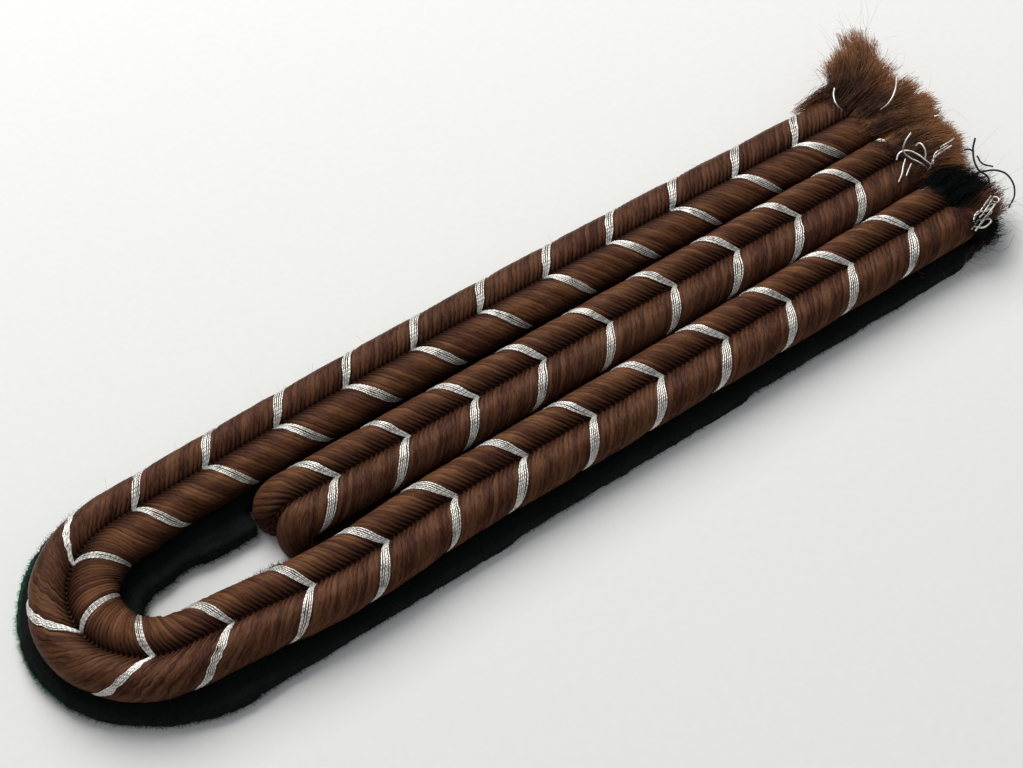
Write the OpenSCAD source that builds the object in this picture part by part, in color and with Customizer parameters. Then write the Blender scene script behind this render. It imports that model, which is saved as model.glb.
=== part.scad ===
// Shoulder board: two double-ribbed silk cords sewn flat on a wool felt backing.
// The outer cord runs up one side, round the end and back down the other side. The middle cord
// lies between its legs, and its end folds down through the slit that the button passes through.
// Lengths are in millimetres. X runs along the board towards the cut seam end, Y across it and
// Z up, from under the middle cord's centre line, halfway along the felt's underside.

/* [Backing] */
// Length of the felt backing
backing_length = 125; // [105:1:145]
// Thickness of the felt
felt_thickness = 1.9; // [1.4:0.1:3]
// Felt that shows beyond the outer cord
felt_margin = 1.4; // [0.8:0.1:3]
// Further felt that shows beyond the second leg
second_leg_margin = 1.3; // [0:0.1:2]
// How much the felt narrows on each side towards the seam end
seam_taper = 1.5; // [0:0.1:3]
// Felt left bare past the cut ends of the cords
seam_allowance = 4.6; // [2:0.1:10]

/* [Cords] */
// Width of one rib, of which each cord has two
rib_width = 4.8; // [4:0.1:5.6]
// Height of a rib above the felt
rib_height = 3.8; // [3.2:0.1:4.6]
// Depth of the groove between the two ribs of a cord
groove_depth = 0.8; // [0.5:0.1:1.8]
// Clearance between cords that lie side by side
lane_gap = 0.1; // [0.06:0.02:0.3]
// Clearance between a piece and the one that it lies on
lay_gap = 0.06; // [0.04:0.01:0.12]
// Outward bow of the outer cord's first leg
first_leg_bow = 1.25; // [0:0.05:1.6]
// Outward bow of the outer cord's second leg
second_leg_bow = 0.85; // [0:0.05:1.6]
// Further outward bow of the second leg beside the opening
opening_bow = 1.1; // [0:0.05:1.3]
// Length of the second leg that this further bow takes up, from the round end
opening_bow_length = 34; // [30:1:50]

/* [Button opening] */
// Length of the opening between the round end and the folded middle cord
opening_length = 18.1; // [15:0.1:24]
// Radius in which the middle cord folds down, at the middle of its height
fold_radius = 2.3; // [2.1:0.1:3]
// How far the middle cord folds round
fold_angle = 100; // [90:1:110]
// Height of the middle cord's sewn end above the underside
sewn_end_height = 0.5; // [0.4:0.05:0.8]
// Felt left between the slit's near side and the outer cord's inner edge
slit_inset = 0.9; // [0.4:0.1:1.2]
// Radius of the slit's round end
slit_end_radius = 2.6; // [2.4:0.1:3.4]
// How far the middle of the slit's round end lies past that of the board's round end
slit_end_shift = -0.2; // [-0.6:0.1:1]
// Clearance round the middle cord where it goes down through the felt
fold_clearance = 0.15; // [0.1:0.05:0.4]

/* [Silver chevrons] */
// Distance along a straight cord from one chevron to the next
chevron_spacing = 9.35; // [8:0.05:11]
// Distance from the round end's centre line to the first leg's nearest chevron
first_leg_offset = 2.2; // [0.5:0.1:6]
// Distance from the round end's centre line to the second leg's nearest chevron
second_leg_offset = 4.5; // [0.5:0.1:6]
// Chevrons spaced evenly between those two round the end
round_end_chevrons = 3; // [1:1:4]
// Distance from the front of the folded middle cord to its first chevron
middle_offset = 9.8; // [6:0.1:12]
// How far a chevron's feet lag behind its point
chevron_lag = 3.9; // [3:0.1:6]
// Width of a silver band along the cord
band_width = 1.2; // [0.9:0.1:2]
// Thickness of a silver band
band_thickness = 0.2; // [0.14:0.02:0.3]
// Height of a band's lower edge on the side of a rib, as an angle above its widest point
band_foot_angle = 26; // [24:1:40]

/* [Frayed ends] */
// Length of a middling lock of frayed silk
fray_length = 9.5; // [6:0.5:12]
// Depth of the sewn head that the locks grow from
head_depth = 1.2; // [0.8:0.1:2]
// Width of a lock where it leaves its head
lock_width = 2.2; // [1.6:0.1:2.6]
// Height of a lock where it leaves its head
lock_height = 2.4; // [1.8:0.1:2.8]
// Length of a middling lock of the wool core
wool_length = 5.5; // [3:0.5:7]
// Clearance between a cord's cut end and the frayed head sewn to it
head_gap = 0.1; // [0.06:0.02:0.2]

/* [Hidden] */

SILK = [0.30, 0.17, 0.12];
SILVER = [0.82, 0.82, 0.80];
FELT = [0.05, 0.09, 0.08];
CORE = [0.07, 0.08, 0.09];

// Places that follow from the sizes above
lane_pitch = 2 * rib_width;
cord_half = rib_width - lane_gap / 2;
half_height = rib_height / 2;
cord_z = felt_thickness + lay_gap + half_height;
felt_half = 3 * rib_width + felt_margin;
round_x = felt_half - backing_length / 2;
seam_x = backing_length / 2;
cut_x = seam_x - seam_allowance;
leg_length = cut_x - round_x;
round_length = PI * lane_pitch;
inner_radius = lane_pitch - cord_half;
nose_x = round_x - inner_radius + opening_length;
fold_x = nose_x + fold_radius + half_height;

// Smoothness
FELT_ARC_STEPS = 36;
FELT_SIDE_STEPS = 10;
LEG_STEPS = 20;
SECOND_LEG_STEPS = 30;
ROUND_STEPS = 20;
FOLD_STEPS = 8;
RIB_OUTER_STEPS = 8;
RIB_INNER_STEPS = 4;
BAND_STEPS = 8;
LOCK_STEPS = 4;
LOCK_SIDES = 8;

// Section of a cord. A rib is an ellipse, wider towards the groove, where the two ribs cross.
groove_rise = half_height - groove_depth;
inner_half = (rib_width / 2) / sqrt(1 - pow(groove_rise / half_height, 2));
outer_half = cord_half - rib_width / 2;

// Angle at which the ellipse, grown by `out`, reaches the groove
function groove_angle(out) = acos((rib_width / 2) / (inner_half + out));

// Point [across, up] on the rib at +1 or -1, at an angle from straight outwards, grown by `out`
function rib_point(side, angle, out = 0) =
    let (half = cos(angle) > 0 ? outer_half + out : inner_half + out)
    [side * (rib_width / 2 + half * cos(angle)), (half_height + out) * sin(angle)];

// Half of a cord's section, from under one rib over its crest to the groove
function half_section(side) = [
    for (i = [0:RIB_OUTER_STEPS]) rib_point(side, -90 + 180 * i / RIB_OUTER_STEPS),
    for (i = [1:RIB_INNER_STEPS]) rib_point(side, 90 + (90 - groove_angle(0)) * i / RIB_INNER_STEPS)
];
function reversed(list) = [for (i = [len(list) - 1:-1:0]) list[i]];
function drop_first(list) = [for (i = [1:len(list) - 1]) list[i]];
cord_section = concat(half_section(1), drop_first(reversed(half_section(-1))));

// Outward bow of the first leg (side 1) or the second (side -1), at a share of its length from the
// round end, and its slope
function leg_bow(share, most) = most * sin(180 * share) * (1 - share / 2);
function further_bow(share) =
    let (part = share * leg_length / opening_bow_length)
    part < 1 ? opening_bow * pow(sin(180 * part), 2) : 0;
function bow(share, side) =
    side > 0 ? leg_bow(share, first_leg_bow) : leg_bow(share, second_leg_bow) + further_bow(share);
function bow_slope(share, side) = (bow(share + 0.01, side) - bow(share - 0.01, side)) / (0.02 * leg_length);

// A frame on a cord's route: [point, across direction, up direction]
function leg_frame(along, side) =
    let (share = along / leg_length, slope = bow_slope(share, side), size = sqrt(1 + slope * slope))
    [[round_x + along, side * (lane_pitch + bow(share, side)), cord_z],
     [-slope / size, side / size, 0], [0, 0, 1]];

function round_frame(angle) =
    [[round_x + lane_pitch * cos(angle), lane_pitch * sin(angle), cord_z],
     [cos(angle), sin(angle), 0], [0, 0, 1]];

// Frame of the outer cord, at a length from where its first leg meets the round end
function outer_frame(along) =
    along < 0 ? leg_frame(-along, 1)
    : along > round_length ? leg_frame(along - round_length, -1)
    : round_frame(90 + 180 * along / round_length);

// Frame of the middle cord, at a length past the start of its fold. Below 0 it folds down.
fold_length = fold_radius * fold_angle * PI / 180;
function fold_height(angle) = cord_z - fold_radius + fold_radius * cos(angle);
tail_length = (fold_height(fold_angle) - sewn_end_height + half_height * cos(fold_angle)) / sin(fold_angle);
function middle_frame(along) =
    along >= 0 ? [[fold_x + along, 0, cord_z], [0, 1, 0], [0, 0, 1]]
    : let (angle = min(fold_angle, -along / fold_radius * 180 / PI),
           tail = max(0, -along - fold_length))
      [[fold_x - fold_radius * sin(angle) - tail * cos(angle), 0,
        fold_height(angle) - tail * sin(angle)],
       [0, 1, 0], [-sin(angle), 0, cos(angle)]];

// Point on a frame, across and up from the cord's centre
function on_frame(frame, across, up) = frame[0] + across * frame[1] + up * frame[2];

// Closed skin over rings of equal point counts, with both ends capped
function skin_faces(rings, sides) = concat(
    [for (r = [0:rings - 2], i = [0:sides - 1])
        let (a = r * sides, j = (i + 1) % sides) [a + i, a + sides + i, a + sides + j, a + j]],
    [[for (i = [0:sides - 1]) i], [for (i = [sides - 1:-1:0]) (rings - 1) * sides + i]]);

module skin(rings, flip = false) {
    sides = len(rings[0]);
    faces = skin_faces(len(rings), sides);
    polyhedron(points = [for (ring = rings) each ring],
               faces = flip ? [for (face = faces) reversed(face)] : faces, convexity = 8);
}

module cord(frames, flip) {
    skin([for (frame = frames) [for (p = cord_section) on_frame(frame, p[0], p[1])]], flip);
}

// Felt outline from the seam round the end and back. It is wider on the second leg's side.
function felt_side(share, side) =
    felt_half - seam_taper * share + (side < 0 ? second_leg_margin * (1 - share / 4) : 0);
function felt_edge(side) = [for (i = [1:FELT_SIDE_STEPS])
    let (share = i / FELT_SIDE_STEPS)
    [round_x + (seam_x - round_x) * share, side * felt_side(share, side)]];
function felt_radius(angle) = felt_half + second_leg_margin * pow(max(0, angle - 225) / 45, 2);
function felt_outline() = concat(
    reversed(felt_edge(1)),
    [for (i = [0:FELT_ARC_STEPS])
        let (angle = 90 + 180 * i / FELT_ARC_STEPS)
        [round_x + felt_radius(angle) * cos(angle), felt_radius(angle) * sin(angle)]],
    felt_edge(-1));

// Far edge of the hand-cut slit, which isn't quite straight
// [share of the opening's length, share of the round end's inner radius]
far_edge = [
    [1.00, 0.26],
    [0.80, 0.28],
    [0.62, 0.32],
    [0.50, 0.42]
];
slit_near_y = slit_inset - inner_radius;
slit_centre = [round_x + slit_end_shift, slit_near_y + slit_end_radius];
slit_far_x = nose_x - fold_clearance;

module slit() {
    arc = [for (angle = [75:15:270]) slit_centre + slit_end_radius * [cos(angle), sin(angle)]];
    far = [for (row = far_edge)
        [slit_far_x - (1 - row[0]) * opening_length, row[1] * inner_radius]];
    polygon(concat(far, arc, [[slit_far_x, slit_near_y]]));
}

// Where the folded end of the middle cord goes down through the felt
module fold_hole() {
    width = 2 * (cord_half + fold_clearance);
    translate([slit_far_x - 0.01, -width / 2]) square([fold_x - slit_far_x + fold_clearance, width]);
}

module backing() {
    color(FELT) linear_extrude(felt_thickness) difference() {
        polygon(felt_outline());
        slit();
        fold_hole();
    }
}

module outer_cord() {
    leg = [for (i = [0:LEG_STEPS]) -leg_length * (1 - i / LEG_STEPS)];
    turn = [for (i = [1:ROUND_STEPS]) round_length * i / ROUND_STEPS];
    // Closer together beside the opening, where the second leg bows most
    back = [for (i = [1:SECOND_LEG_STEPS])
        round_length + leg_length * pow(i / SECOND_LEG_STEPS, 1.4)];
    color(SILK) cord([for (along = concat(leg, turn, back)) outer_frame(along)], flip = true);
}

module middle_cord() {
    fold = [for (i = [0:FOLD_STEPS]) -fold_length * (1 - i / FOLD_STEPS)];
    lane = [for (i = [1:2]) (cut_x - fold_x) * i / 2];
    stations = concat([-fold_length - tail_length], fold, lane);
    color(SILK) cord([for (along = stations) middle_frame(along)], flip = false);
}

// Angle round a rib at a share of the way from the groove to the band's foot
function band_angle(share, out) =
    let (start = 180 - groove_angle(out)) start + share * (band_foot_angle - start);

// A silver band laid over both ribs in a V. `along` gives its point's place on the cord.
band_stations = [for (i = [-BAND_STEPS:BAND_STEPS]) i / BAND_STEPS];
band_rise = [lay_gap, lay_gap + band_thickness];

function band_ring(kind, share, along) =
    let (place = along - chevron_lag * abs(share))
    [for (corner = [[-1, 0], [1, 0], [1, 1], [-1, 1]])
        let (out = band_rise[corner[1]],
             p = rib_point(share < 0 ? -1 : 1, band_angle(abs(share), out), out),
             at = place + corner[0] * band_width / 2,
             frame = kind == "outer" ? outer_frame(at) : middle_frame(at))
        on_frame(frame, p[0], p[1])];

module band(kind, along) {
    skin([for (share = band_stations) band_ring(kind, share, along)], flip = kind == "middle");
}

module outer_chevrons() {
    first = [for (along = [-first_leg_offset:-chevron_spacing:-leg_length + band_width]) along];
    second = [for (along = [second_leg_offset:chevron_spacing:leg_length - band_width])
        round_length + along];
    reach = first_leg_offset + round_length + second_leg_offset;
    turn = [for (i = [1:round_end_chevrons]) -first_leg_offset + reach * i / (round_end_chevrons + 1)];
    color(SILVER) for (along = concat(first, turn, second)) band("outer", along);
}

module middle_chevrons() {
    start = nose_x + middle_offset - fold_x;
    color(SILVER) for (along = [start:chevron_spacing:cut_x - fold_x - band_width]) band("middle", along);
}

// A lock of frayed silk or wool: a bent, tapered tuft from a point in its head
module lock(start, heading, length, rise, width, height) {
    rings = [for (i = [0:LOCK_STEPS])
        let (share = i / LOCK_STEPS,
             turn = heading * (0.6 + 0.4 * share),
             reach = length * share,
             centre = start + [reach * cos(turn), reach * sin(turn), rise * share],
             half_w = width / 2 * (1 + 0.5 * sin(180 * share) - 0.75 * share * share),
             half_h = height / 2 * (1 - 0.7 * share * share))
        [for (k = [0:LOCK_SIDES - 1])
            let (angle = 360 * k / LOCK_SIDES)
            centre + [-half_w * cos(angle) * sin(turn), half_w * cos(angle) * cos(turn),
                      half_h * sin(angle)]]];
    skin(rings);
}

// Head of a tuft: a slice of the cord's section between two places across it
module head(side_y, from, to) {
    depth_x = cut_x + head_gap;
    translate([depth_x, side_y, cord_z]) rotate([90, 0, 90]) linear_extrude(head_depth)
        intersection() {
            polygon(cord_section);
            translate([from * cord_half, -rib_height]) square([(to - from) * cord_half, 2 * rib_height]);
        }
}

// Locks from a table: [place across as a share of the cord's half width, heading outwards in
// degrees, share of the lock length, rise of the tip as a share of the rib height]
module locks(table, side, side_y, length) {
    for (row = table)
        lock([cut_x + head_gap + head_depth / 2, side_y + side * row[0] * (cord_half - lock_width / 2),
              cord_z - 0.1 * rib_height],
             side * row[1], row[2] * length, row[3] * rib_height, lock_width, lock_height);
}

first_leg_locks = [
    [ 1.00, 52, 0.70,  0.10],
    [ 0.85, 50, 1.02,  0.20],
    [ 0.70, 40, 1.38,  0.25],
    [ 0.48, 32, 1.16,  0.22],
    [ 0.20, 25, 1.04,  0.15],
    [-0.10, 16, 1.02,  0.12],
    [-0.45, 10, 0.96,  0.10],
    [-0.80,  5, 1.04,  0.05],
    [-1.00,  0, 1.00,  0.02]
];
middle_locks = [
    [ 0.55,  -3, 0.94, -0.05],
    [ 0.20,  -6, 0.90,  0.05],
    [-0.15, -10, 0.82,  0.08],
    [-0.50, -18, 0.74,  0.05],
    [-0.74, -23, 0.66,  0.10]
];
second_leg_locks = [
    [1.02,  -5, 0.72, -0.22],
    [1.13,  -1, 0.52, -0.22]
];
wool_locks = [
    [-0.86,   0, 0.62, -0.12],
    [-0.54,   0, 1.00, -0.05],
    [-0.20,   2, 1.12,  0.00],
    [ 0.00,   2, 0.84, -0.12]
];

module first_leg_tuft() {
    color(SILK) union() {
        head(lane_pitch, -1, 1);
        locks(first_leg_locks, 1, lane_pitch, fray_length);
    }
}

module middle_tuft() {
    color(SILK) union() {
        head(0, -1, 1);
        locks(middle_locks, 1, 0, fray_length);
    }
}

module second_leg_tuft() {
    color(SILK) union() {
        head(-lane_pitch, -1, -0.5);
        locks(second_leg_locks, -1, -lane_pitch, fray_length);
    }
}

module core_wool() {
    color(CORE) union() {
        head(-lane_pitch, -0.5 + lane_gap / cord_half, 1);
        locks(wool_locks, -1, -lane_pitch, wool_length);
    }
}

backing();
outer_cord();
middle_cord();
outer_chevrons();
middle_chevrons();
first_leg_tuft();
middle_tuft();
second_leg_tuft();
core_wool();
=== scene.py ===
"""Dresses the shoulder board: wound silk cords, silver chevrons, wool felt and frayed ends.

Lengths are metres in the part's frame. X runs along the board towards its cut seam end, Y across
it towards the outer cord's first leg, and Z up from the surface that the board lies on.
"""

import logging
import math
import random
from bisect import bisect_left
from contextlib import contextmanager
from dataclasses import dataclass
from enum import Enum
from functools import cached_property, lru_cache
from typing import Callable, ClassVar, Iterator, Sequence

import bmesh
import bpy
from mathutils import Matrix, Vector


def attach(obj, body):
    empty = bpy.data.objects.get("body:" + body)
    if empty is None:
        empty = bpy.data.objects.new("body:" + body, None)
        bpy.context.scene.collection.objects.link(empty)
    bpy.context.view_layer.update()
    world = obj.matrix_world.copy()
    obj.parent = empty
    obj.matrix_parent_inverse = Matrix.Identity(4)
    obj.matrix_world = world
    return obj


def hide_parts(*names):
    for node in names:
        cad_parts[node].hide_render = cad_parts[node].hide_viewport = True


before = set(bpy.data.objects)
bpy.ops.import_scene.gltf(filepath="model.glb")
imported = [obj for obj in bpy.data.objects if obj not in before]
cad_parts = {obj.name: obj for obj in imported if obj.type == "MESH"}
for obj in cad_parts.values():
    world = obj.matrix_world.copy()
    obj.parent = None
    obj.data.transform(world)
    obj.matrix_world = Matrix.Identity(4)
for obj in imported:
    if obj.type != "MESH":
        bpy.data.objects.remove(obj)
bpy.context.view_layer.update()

MM = 0.001
Colour = tuple[float, float, float]
LOG = logging.getLogger("shoulder_board")


# Sizes and places that the CAD model gives


@dataclass(frozen=True)
class Board:
    """The board's layout, as in the CAD model."""

    felt_thickness: float = 1.9 * MM
    rib_width: float = 4.8 * MM
    half_height: float = 1.9 * MM
    outer_half: float = 2.35 * MM
    groove_depth: float = 0.8 * MM
    lay_gap: float = 0.06 * MM
    round_x: float = -46.7 * MM
    seam_x: float = 62.5 * MM
    cut_x: float = 57.9 * MM
    fold_x: float = -29.25 * MM
    fold_radius: float = 2.3 * MM
    fold_angle: float = math.radians(100)
    sewn_end_height: float = 0.5 * MM
    first_leg_bow: float = 1.25 * MM
    second_leg_bow: float = 0.85 * MM
    opening_bow: float = 1.1 * MM
    opening_bow_length: float = 34 * MM
    # Where bare felt starts: past the cut, under a cord's side and before the fold
    bare_past_cut: float = 0.3 * MM
    bare_under_side: float = 0.2 * MM
    bare_before_fold: float = 3 * MM

    @cached_property
    def groove_rise(self) -> float:
        """Height of the groove between two ribs above their centres."""
        return self.half_height - self.groove_depth

    @cached_property
    def inner_half(self) -> float:
        """Half width of a rib's section towards the groove, where the two ribs cross."""
        return self.rib_width / 2 / math.sqrt(1 - (self.groove_rise / self.half_height) ** 2)

    @property
    def lane_pitch(self) -> float:
        """Distance from one cord's centre line to the next."""
        return 2 * self.rib_width

    @property
    def cord_z(self) -> float:
        """Height of the cords' centre lines."""
        return self.felt_thickness + self.lay_gap + self.half_height

    @property
    def leg_length(self) -> float:
        """Length of each straight leg of the outer cord."""
        return self.cut_x - self.round_x

    @property
    def round_length(self) -> float:
        """Length of the outer cord's centre line round the end."""
        return math.pi * self.lane_pitch

    def bow(self, share: float, side: int) -> float:
        """Outward bow of a leg.

        Args:
            share: Place along the leg, from 0 at the round end to 1 at the cut end.
            side: 1 for the first leg and -1 for the second.

        Returns:
            How far the leg's centre line lies outside its straight line.
        """
        most = self.first_leg_bow if side > 0 else self.second_leg_bow
        bow = most * math.sin(math.pi * share) * (1 - share / 2)
        part = share * self.leg_length / self.opening_bow_length
        if side < 0 and part < 1:
            bow += self.opening_bow * math.sin(math.pi * part) ** 2
        return bow

    def bare(self, place: Vector) -> bool:
        """Says whether the felt is bare at a place, with no cord over it.

        Args:
            place: A point on the felt.

        Returns:
            Whether it is bare.
        """
        if place.x > self.cut_x + self.bare_past_cut:
            return True
        reach = abs(place.y) if place.x > self.round_x else self.from_round_centre(place)
        cords = self.lane_pitch + self.rib_width
        return reach > cords - self.bare_under_side or (
            place.x < self.fold_x - self.bare_before_fold and reach < self.rib_width)

    def from_round_centre(self, place: Vector) -> float:
        """Distance of a place from the round end's centre, seen from above."""
        return math.hypot(place.x - self.round_x, place.y)


BOARD = Board()


@dataclass(frozen=True)
class Winding:
    """How the thread is wound round a rib."""

    pitch: float = 9.35 * MM / 15
    ridge: float = 0.06 * MM
    slant: float = 0.76
    turn_angle: float = math.radians(-28)

    @cached_property
    def groove_angle(self) -> float:
        """Angle from straight outwards at which a rib meets the groove."""
        return math.pi - math.asin(BOARD.groove_rise / BOARD.half_height)

    def radius(self, angle: float) -> float:
        """Distance from a rib's centre to its surface at an angle from straight outwards."""
        half = BOARD.outer_half if math.cos(angle) > 0 else BOARD.inner_half
        return math.hypot(half * math.cos(angle), BOARD.half_height * math.sin(angle))

    def girth(self, angle: float) -> float:
        """Length over the rib from its groove to an angle, negative past the groove.

        Args:
            angle: Angle from straight outwards.

        Returns:
            The length, measured in short steps.
        """
        steps = 24
        step = (self.groove_angle - angle) / steps
        return sum(self.radius(self.groove_angle - (i + 0.5) * step) * step for i in range(steps))

    def lag(self, angle: float) -> float:
        """How far a thread at an angle lies behind where it leaves the groove.

        Args:
            angle: Angle from straight outwards, between a full turn under the groove and it.

        Returns:
            The lag along the cord. It runs back to nothing under the rib, where it doesn't show.
        """
        if angle >= self.turn_angle:
            return self.slant * self.girth(angle)
        foot = self.groove_angle - 2 * math.pi
        share = (angle - foot) / (self.turn_angle - foot)
        return self.slant * self.girth(self.turn_angle) * max(0.0, share)


WINDING = Winding()


@lru_cache(maxsize=None)
def lag_at(angle: float) -> float:
    """Looks up a thread's lag at an angle that is rounded to a hundredth of a radian."""
    return WINDING.lag(angle)


# Modelling helpers


def pick(*chosen: bpy.types.Object) -> None:
    """Leaves edit mode, selects only the given objects and makes the first one active.

    Args:
        chosen: The objects.
    """
    if bpy.context.object and bpy.context.object.mode != "OBJECT":
        bpy.ops.object.mode_set(mode="OBJECT")
    bpy.ops.object.select_all(action="DESELECT")
    for item in chosen:
        item.select_set(True)
    bpy.context.view_layer.objects.active = chosen[0]


@contextmanager
def editing(piece: bpy.types.Object) -> Iterator[None]:
    """Opens one piece in edit mode with nothing selected, and closes it again.

    Args:
        piece: The object.

    Yields:
        Nothing, while the piece is open.
    """
    pick(piece)
    bpy.ops.object.mode_set(mode="EDIT")
    bpy.ops.mesh.select_mode(type="VERT")
    bpy.ops.mesh.select_all(action="DESELECT")
    yield
    bpy.ops.object.mode_set(mode="OBJECT")


def choose(piece: bpy.types.Object, test: Callable[[Vector], bool]) -> int:
    """Selects the vertices of the edited piece whose place passes a test.

    Args:
        piece: The object in edit mode.
        test: Says of a vertex's place whether it is chosen.

    Returns:
        How many vertices are selected.
    """
    mesh = bmesh.from_edit_mesh(piece.data)
    for vertex in mesh.verts:
        vertex.select_set(test(vertex.co))
    mesh.select_flush_mode()
    bmesh.update_edit_mesh(piece.data)
    return sum(vertex.select for vertex in mesh.verts)


def settle(piece: bpy.types.Object) -> None:
    """Applies an object's own place, turn and scale to its mesh."""
    pick(piece)
    bpy.ops.object.transform_apply(location=True, rotation=True, scale=True)


def modify(piece: bpy.types.Object, kind: str, **settings: object) -> None:
    """Adds a modifier and applies it.

    Args:
        piece: The object.
        kind: The modifier's type.
        settings: The modifier's own settings.
    """
    pick(piece)
    modifier = piece.modifiers.new(kind.title(), kind)
    for key, value in settings.items():
        setattr(modifier, key, value)
    bpy.ops.object.modifier_apply(modifier=modifier.name)


def duplicate(piece: bpy.types.Object) -> bpy.types.Object:
    """Copies an object together with its mesh.

    Args:
        piece: The object.

    Returns:
        The copy.
    """
    pick(piece)
    bpy.ops.object.duplicate(linked=False)
    return bpy.context.object


def join(name: str, parts: Sequence[bpy.types.Object]) -> bpy.types.Object:
    """Joins objects into the first one.

    Args:
        name: Name of the result.
        parts: The objects.

    Returns:
        The joined object.
    """
    pick(*parts)
    if len(parts) > 1:
        bpy.ops.object.join()
    parts[0].name = parts[0].data.name = name
    return parts[0]


def discard(*helpers: bpy.types.Object) -> None:
    """Deletes helper objects."""
    pick(*helpers)
    bpy.ops.object.delete()


def close_up(piece: bpy.types.Object) -> None:
    """Merges doubled vertices, closes open ends and turns all faces outwards.

    Args:
        piece: The object.
    """
    with editing(piece):
        bpy.ops.mesh.select_all(action="SELECT")
        bpy.ops.mesh.remove_doubles(threshold=0.0005 * MM)
        bpy.ops.mesh.fill_holes(sides=0)
        bpy.ops.mesh.normals_make_consistent(inside=False)


def uneven(piece: bpy.types.Object, size: float, strength: float,
           direction: str = "NORMAL") -> None:
    """Displaces a piece by soft noise.

    Args:
        piece: The object.
        size: Size of the bumps.
        strength: Distance between the lowest and highest bump.
        direction: Direction of the displacement.
    """
    noise = bpy.data.textures.new("Unevenness", "CLOUDS")
    noise.noise_scale = size
    modify(piece, "DISPLACE", texture=noise, texture_coords="LOCAL", direction=direction,
           strength=strength, mid_level=0.5)
    bpy.data.textures.remove(noise)


def route_curve(points: Sequence[Vector]) -> bpy.types.Object:
    """Draws a helper curve that a Curve modifier follows.

    Args:
        points: The route.

    Returns:
        The curve's object.
    """
    data = bpy.data.curves.new("Route", "CURVE")
    data.dimensions = "3D"
    data.twist_mode = "Z_UP"
    spline = data.splines.new("POLY")
    spline.points.add(len(points) - 1)
    for place, point in zip(spline.points, points):
        place.co = (*point, 1)
    curve = bpy.data.objects.new("Route", data)
    bpy.context.collection.objects.link(curve)
    return curve


def finish_piece(piece: bpy.types.Object, material: bpy.types.Material,
                 replaced: Sequence[str]) -> bpy.types.Object:
    """Gives a finished piece its material and says where it belongs.

    Args:
        piece: The object.
        material: Its material.
        replaced: CAD nodes that it stands for.

    Returns:
        The object.
    """
    pick(piece)
    piece.data.materials.clear()
    piece.data.materials.append(material)
    bpy.ops.object.shade_smooth()
    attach(piece, "root")
    if replaced:
        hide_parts(*replaced)
    faces = sum(len(face.vertices) - 2 for face in piece.data.polygons)
    LOG.info("%s: %d triangles", piece.name, faces)
    return piece


# Shader graphs


Socket = bpy.types.NodeSocket
BLACK, WHITE = (0.0, 0.0, 0.0), (1.0, 1.0, 1.0)


def grey(value: float) -> Colour:
    """Makes a grey of a value."""
    return (value, value, value)


class Graph:
    """Adds nodes to a material or a node group and links them."""

    def __init__(self, tree: bpy.types.NodeTree) -> None:
        """Takes a node tree and empties it."""
        self.tree = tree
        tree.nodes.clear()

    def add(self, kind: str, values: dict | None = None, **settings: object) -> bpy.types.Node:
        """Adds a node.

        Args:
            kind: The node's type without "ShaderNode".
            values: Input names or numbers, each with a value or a socket to link.
            settings: The node's own settings.

        Returns:
            The node.
        """
        node = self.tree.nodes.new("ShaderNode" + kind)
        for key, value in settings.items():
            setattr(node, key, value)
        for key, value in (values or {}).items():
            if isinstance(value, Socket):
                self.tree.links.new(value, node.inputs[key])
            else:
                node.inputs[key].default_value = value
        return node

    def math(self, operation: str, *values: object) -> Socket:
        """Adds a Math node and returns its output."""
        return self.add("Math", dict(enumerate(values)), operation=operation).outputs[0]

    def mix(self, factor: Socket, first: object, second: object) -> Socket:
        """Mixes two sockets or colours and returns the result."""
        values = {0: factor, 6: rgba(first), 7: rgba(second)}
        return self.add("Mix", values, data_type="RGBA").outputs[2]

    def noise(self, place: Socket, scale: object, detail: float, **more: float) -> Socket:
        """Adds a noise texture.

        Args:
            place: The coordinates that it reads.
            scale: Its scale, as a number or a socket.
            detail: Its detail.
            more: Its other inputs, by their names in small letters.

        Returns:
            Its value.
        """
        extra = {key.title(): value for key, value in more.items()}
        return self.add("TexNoise", {"Vector": place, "Scale": scale, "Detail": detail,
                                     **extra}).outputs[0]

    def toss(self, number: Socket) -> Socket:
        """Draws a random value for each whole number."""
        return self.add("TexWhiteNoise", {"W": number}, noise_dimensions="1D").outputs[0]

    def object_place(self) -> Socket:
        """Reads the place on the object."""
        return self.add("TexCoord").outputs["Object"]

    def uv_map(self, name: str) -> Socket:
        """Reads a UV map of the piece."""
        return self.add("UVMap", uv_map=name).outputs[0]

    def split(self, vector: Socket) -> tuple[Socket, ...]:
        """Splits a vector into its three parts."""
        return tuple(self.add("SeparateXYZ", {0: vector}).outputs)

    def bump(self, height: Socket, strength: float, distance: float) -> Socket:
        """Adds a bump and returns its normal."""
        return self.add("Bump", {"Height": height, "Strength": strength,
                                 "Distance": distance}).outputs[0]

    def fade(self, factor: Socket, black: float, white: float) -> Socket:
        """Adds a ramp from black at one value to white at another, in either order."""
        return self.ramp(factor, sorted([(black, BLACK), (white, WHITE)]))

    def ramp(self, factor: Socket, stops: Sequence[tuple]) -> Socket:
        """Adds a colour ramp.

        Args:
            factor: What the ramp reads.
            stops: Places from 0 to 1, each with a colour.

        Returns:
            The ramp's colour output.
        """
        node = self.add("ValToRGB", {"Fac": factor})
        while len(node.color_ramp.elements) < len(stops):
            node.color_ramp.elements.new(0.5)
        for element, (place, colour) in zip(node.color_ramp.elements, stops):
            element.position = place
            element.color = (*colour, 1)
        return node.outputs[0]

    def surface(self, values: dict) -> None:
        """Adds the Principled shader and the output of a material."""
        shader = self.add("BsdfPrincipled", values)
        self.add("OutputMaterial", {"Surface": shader.outputs[0]})


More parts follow.
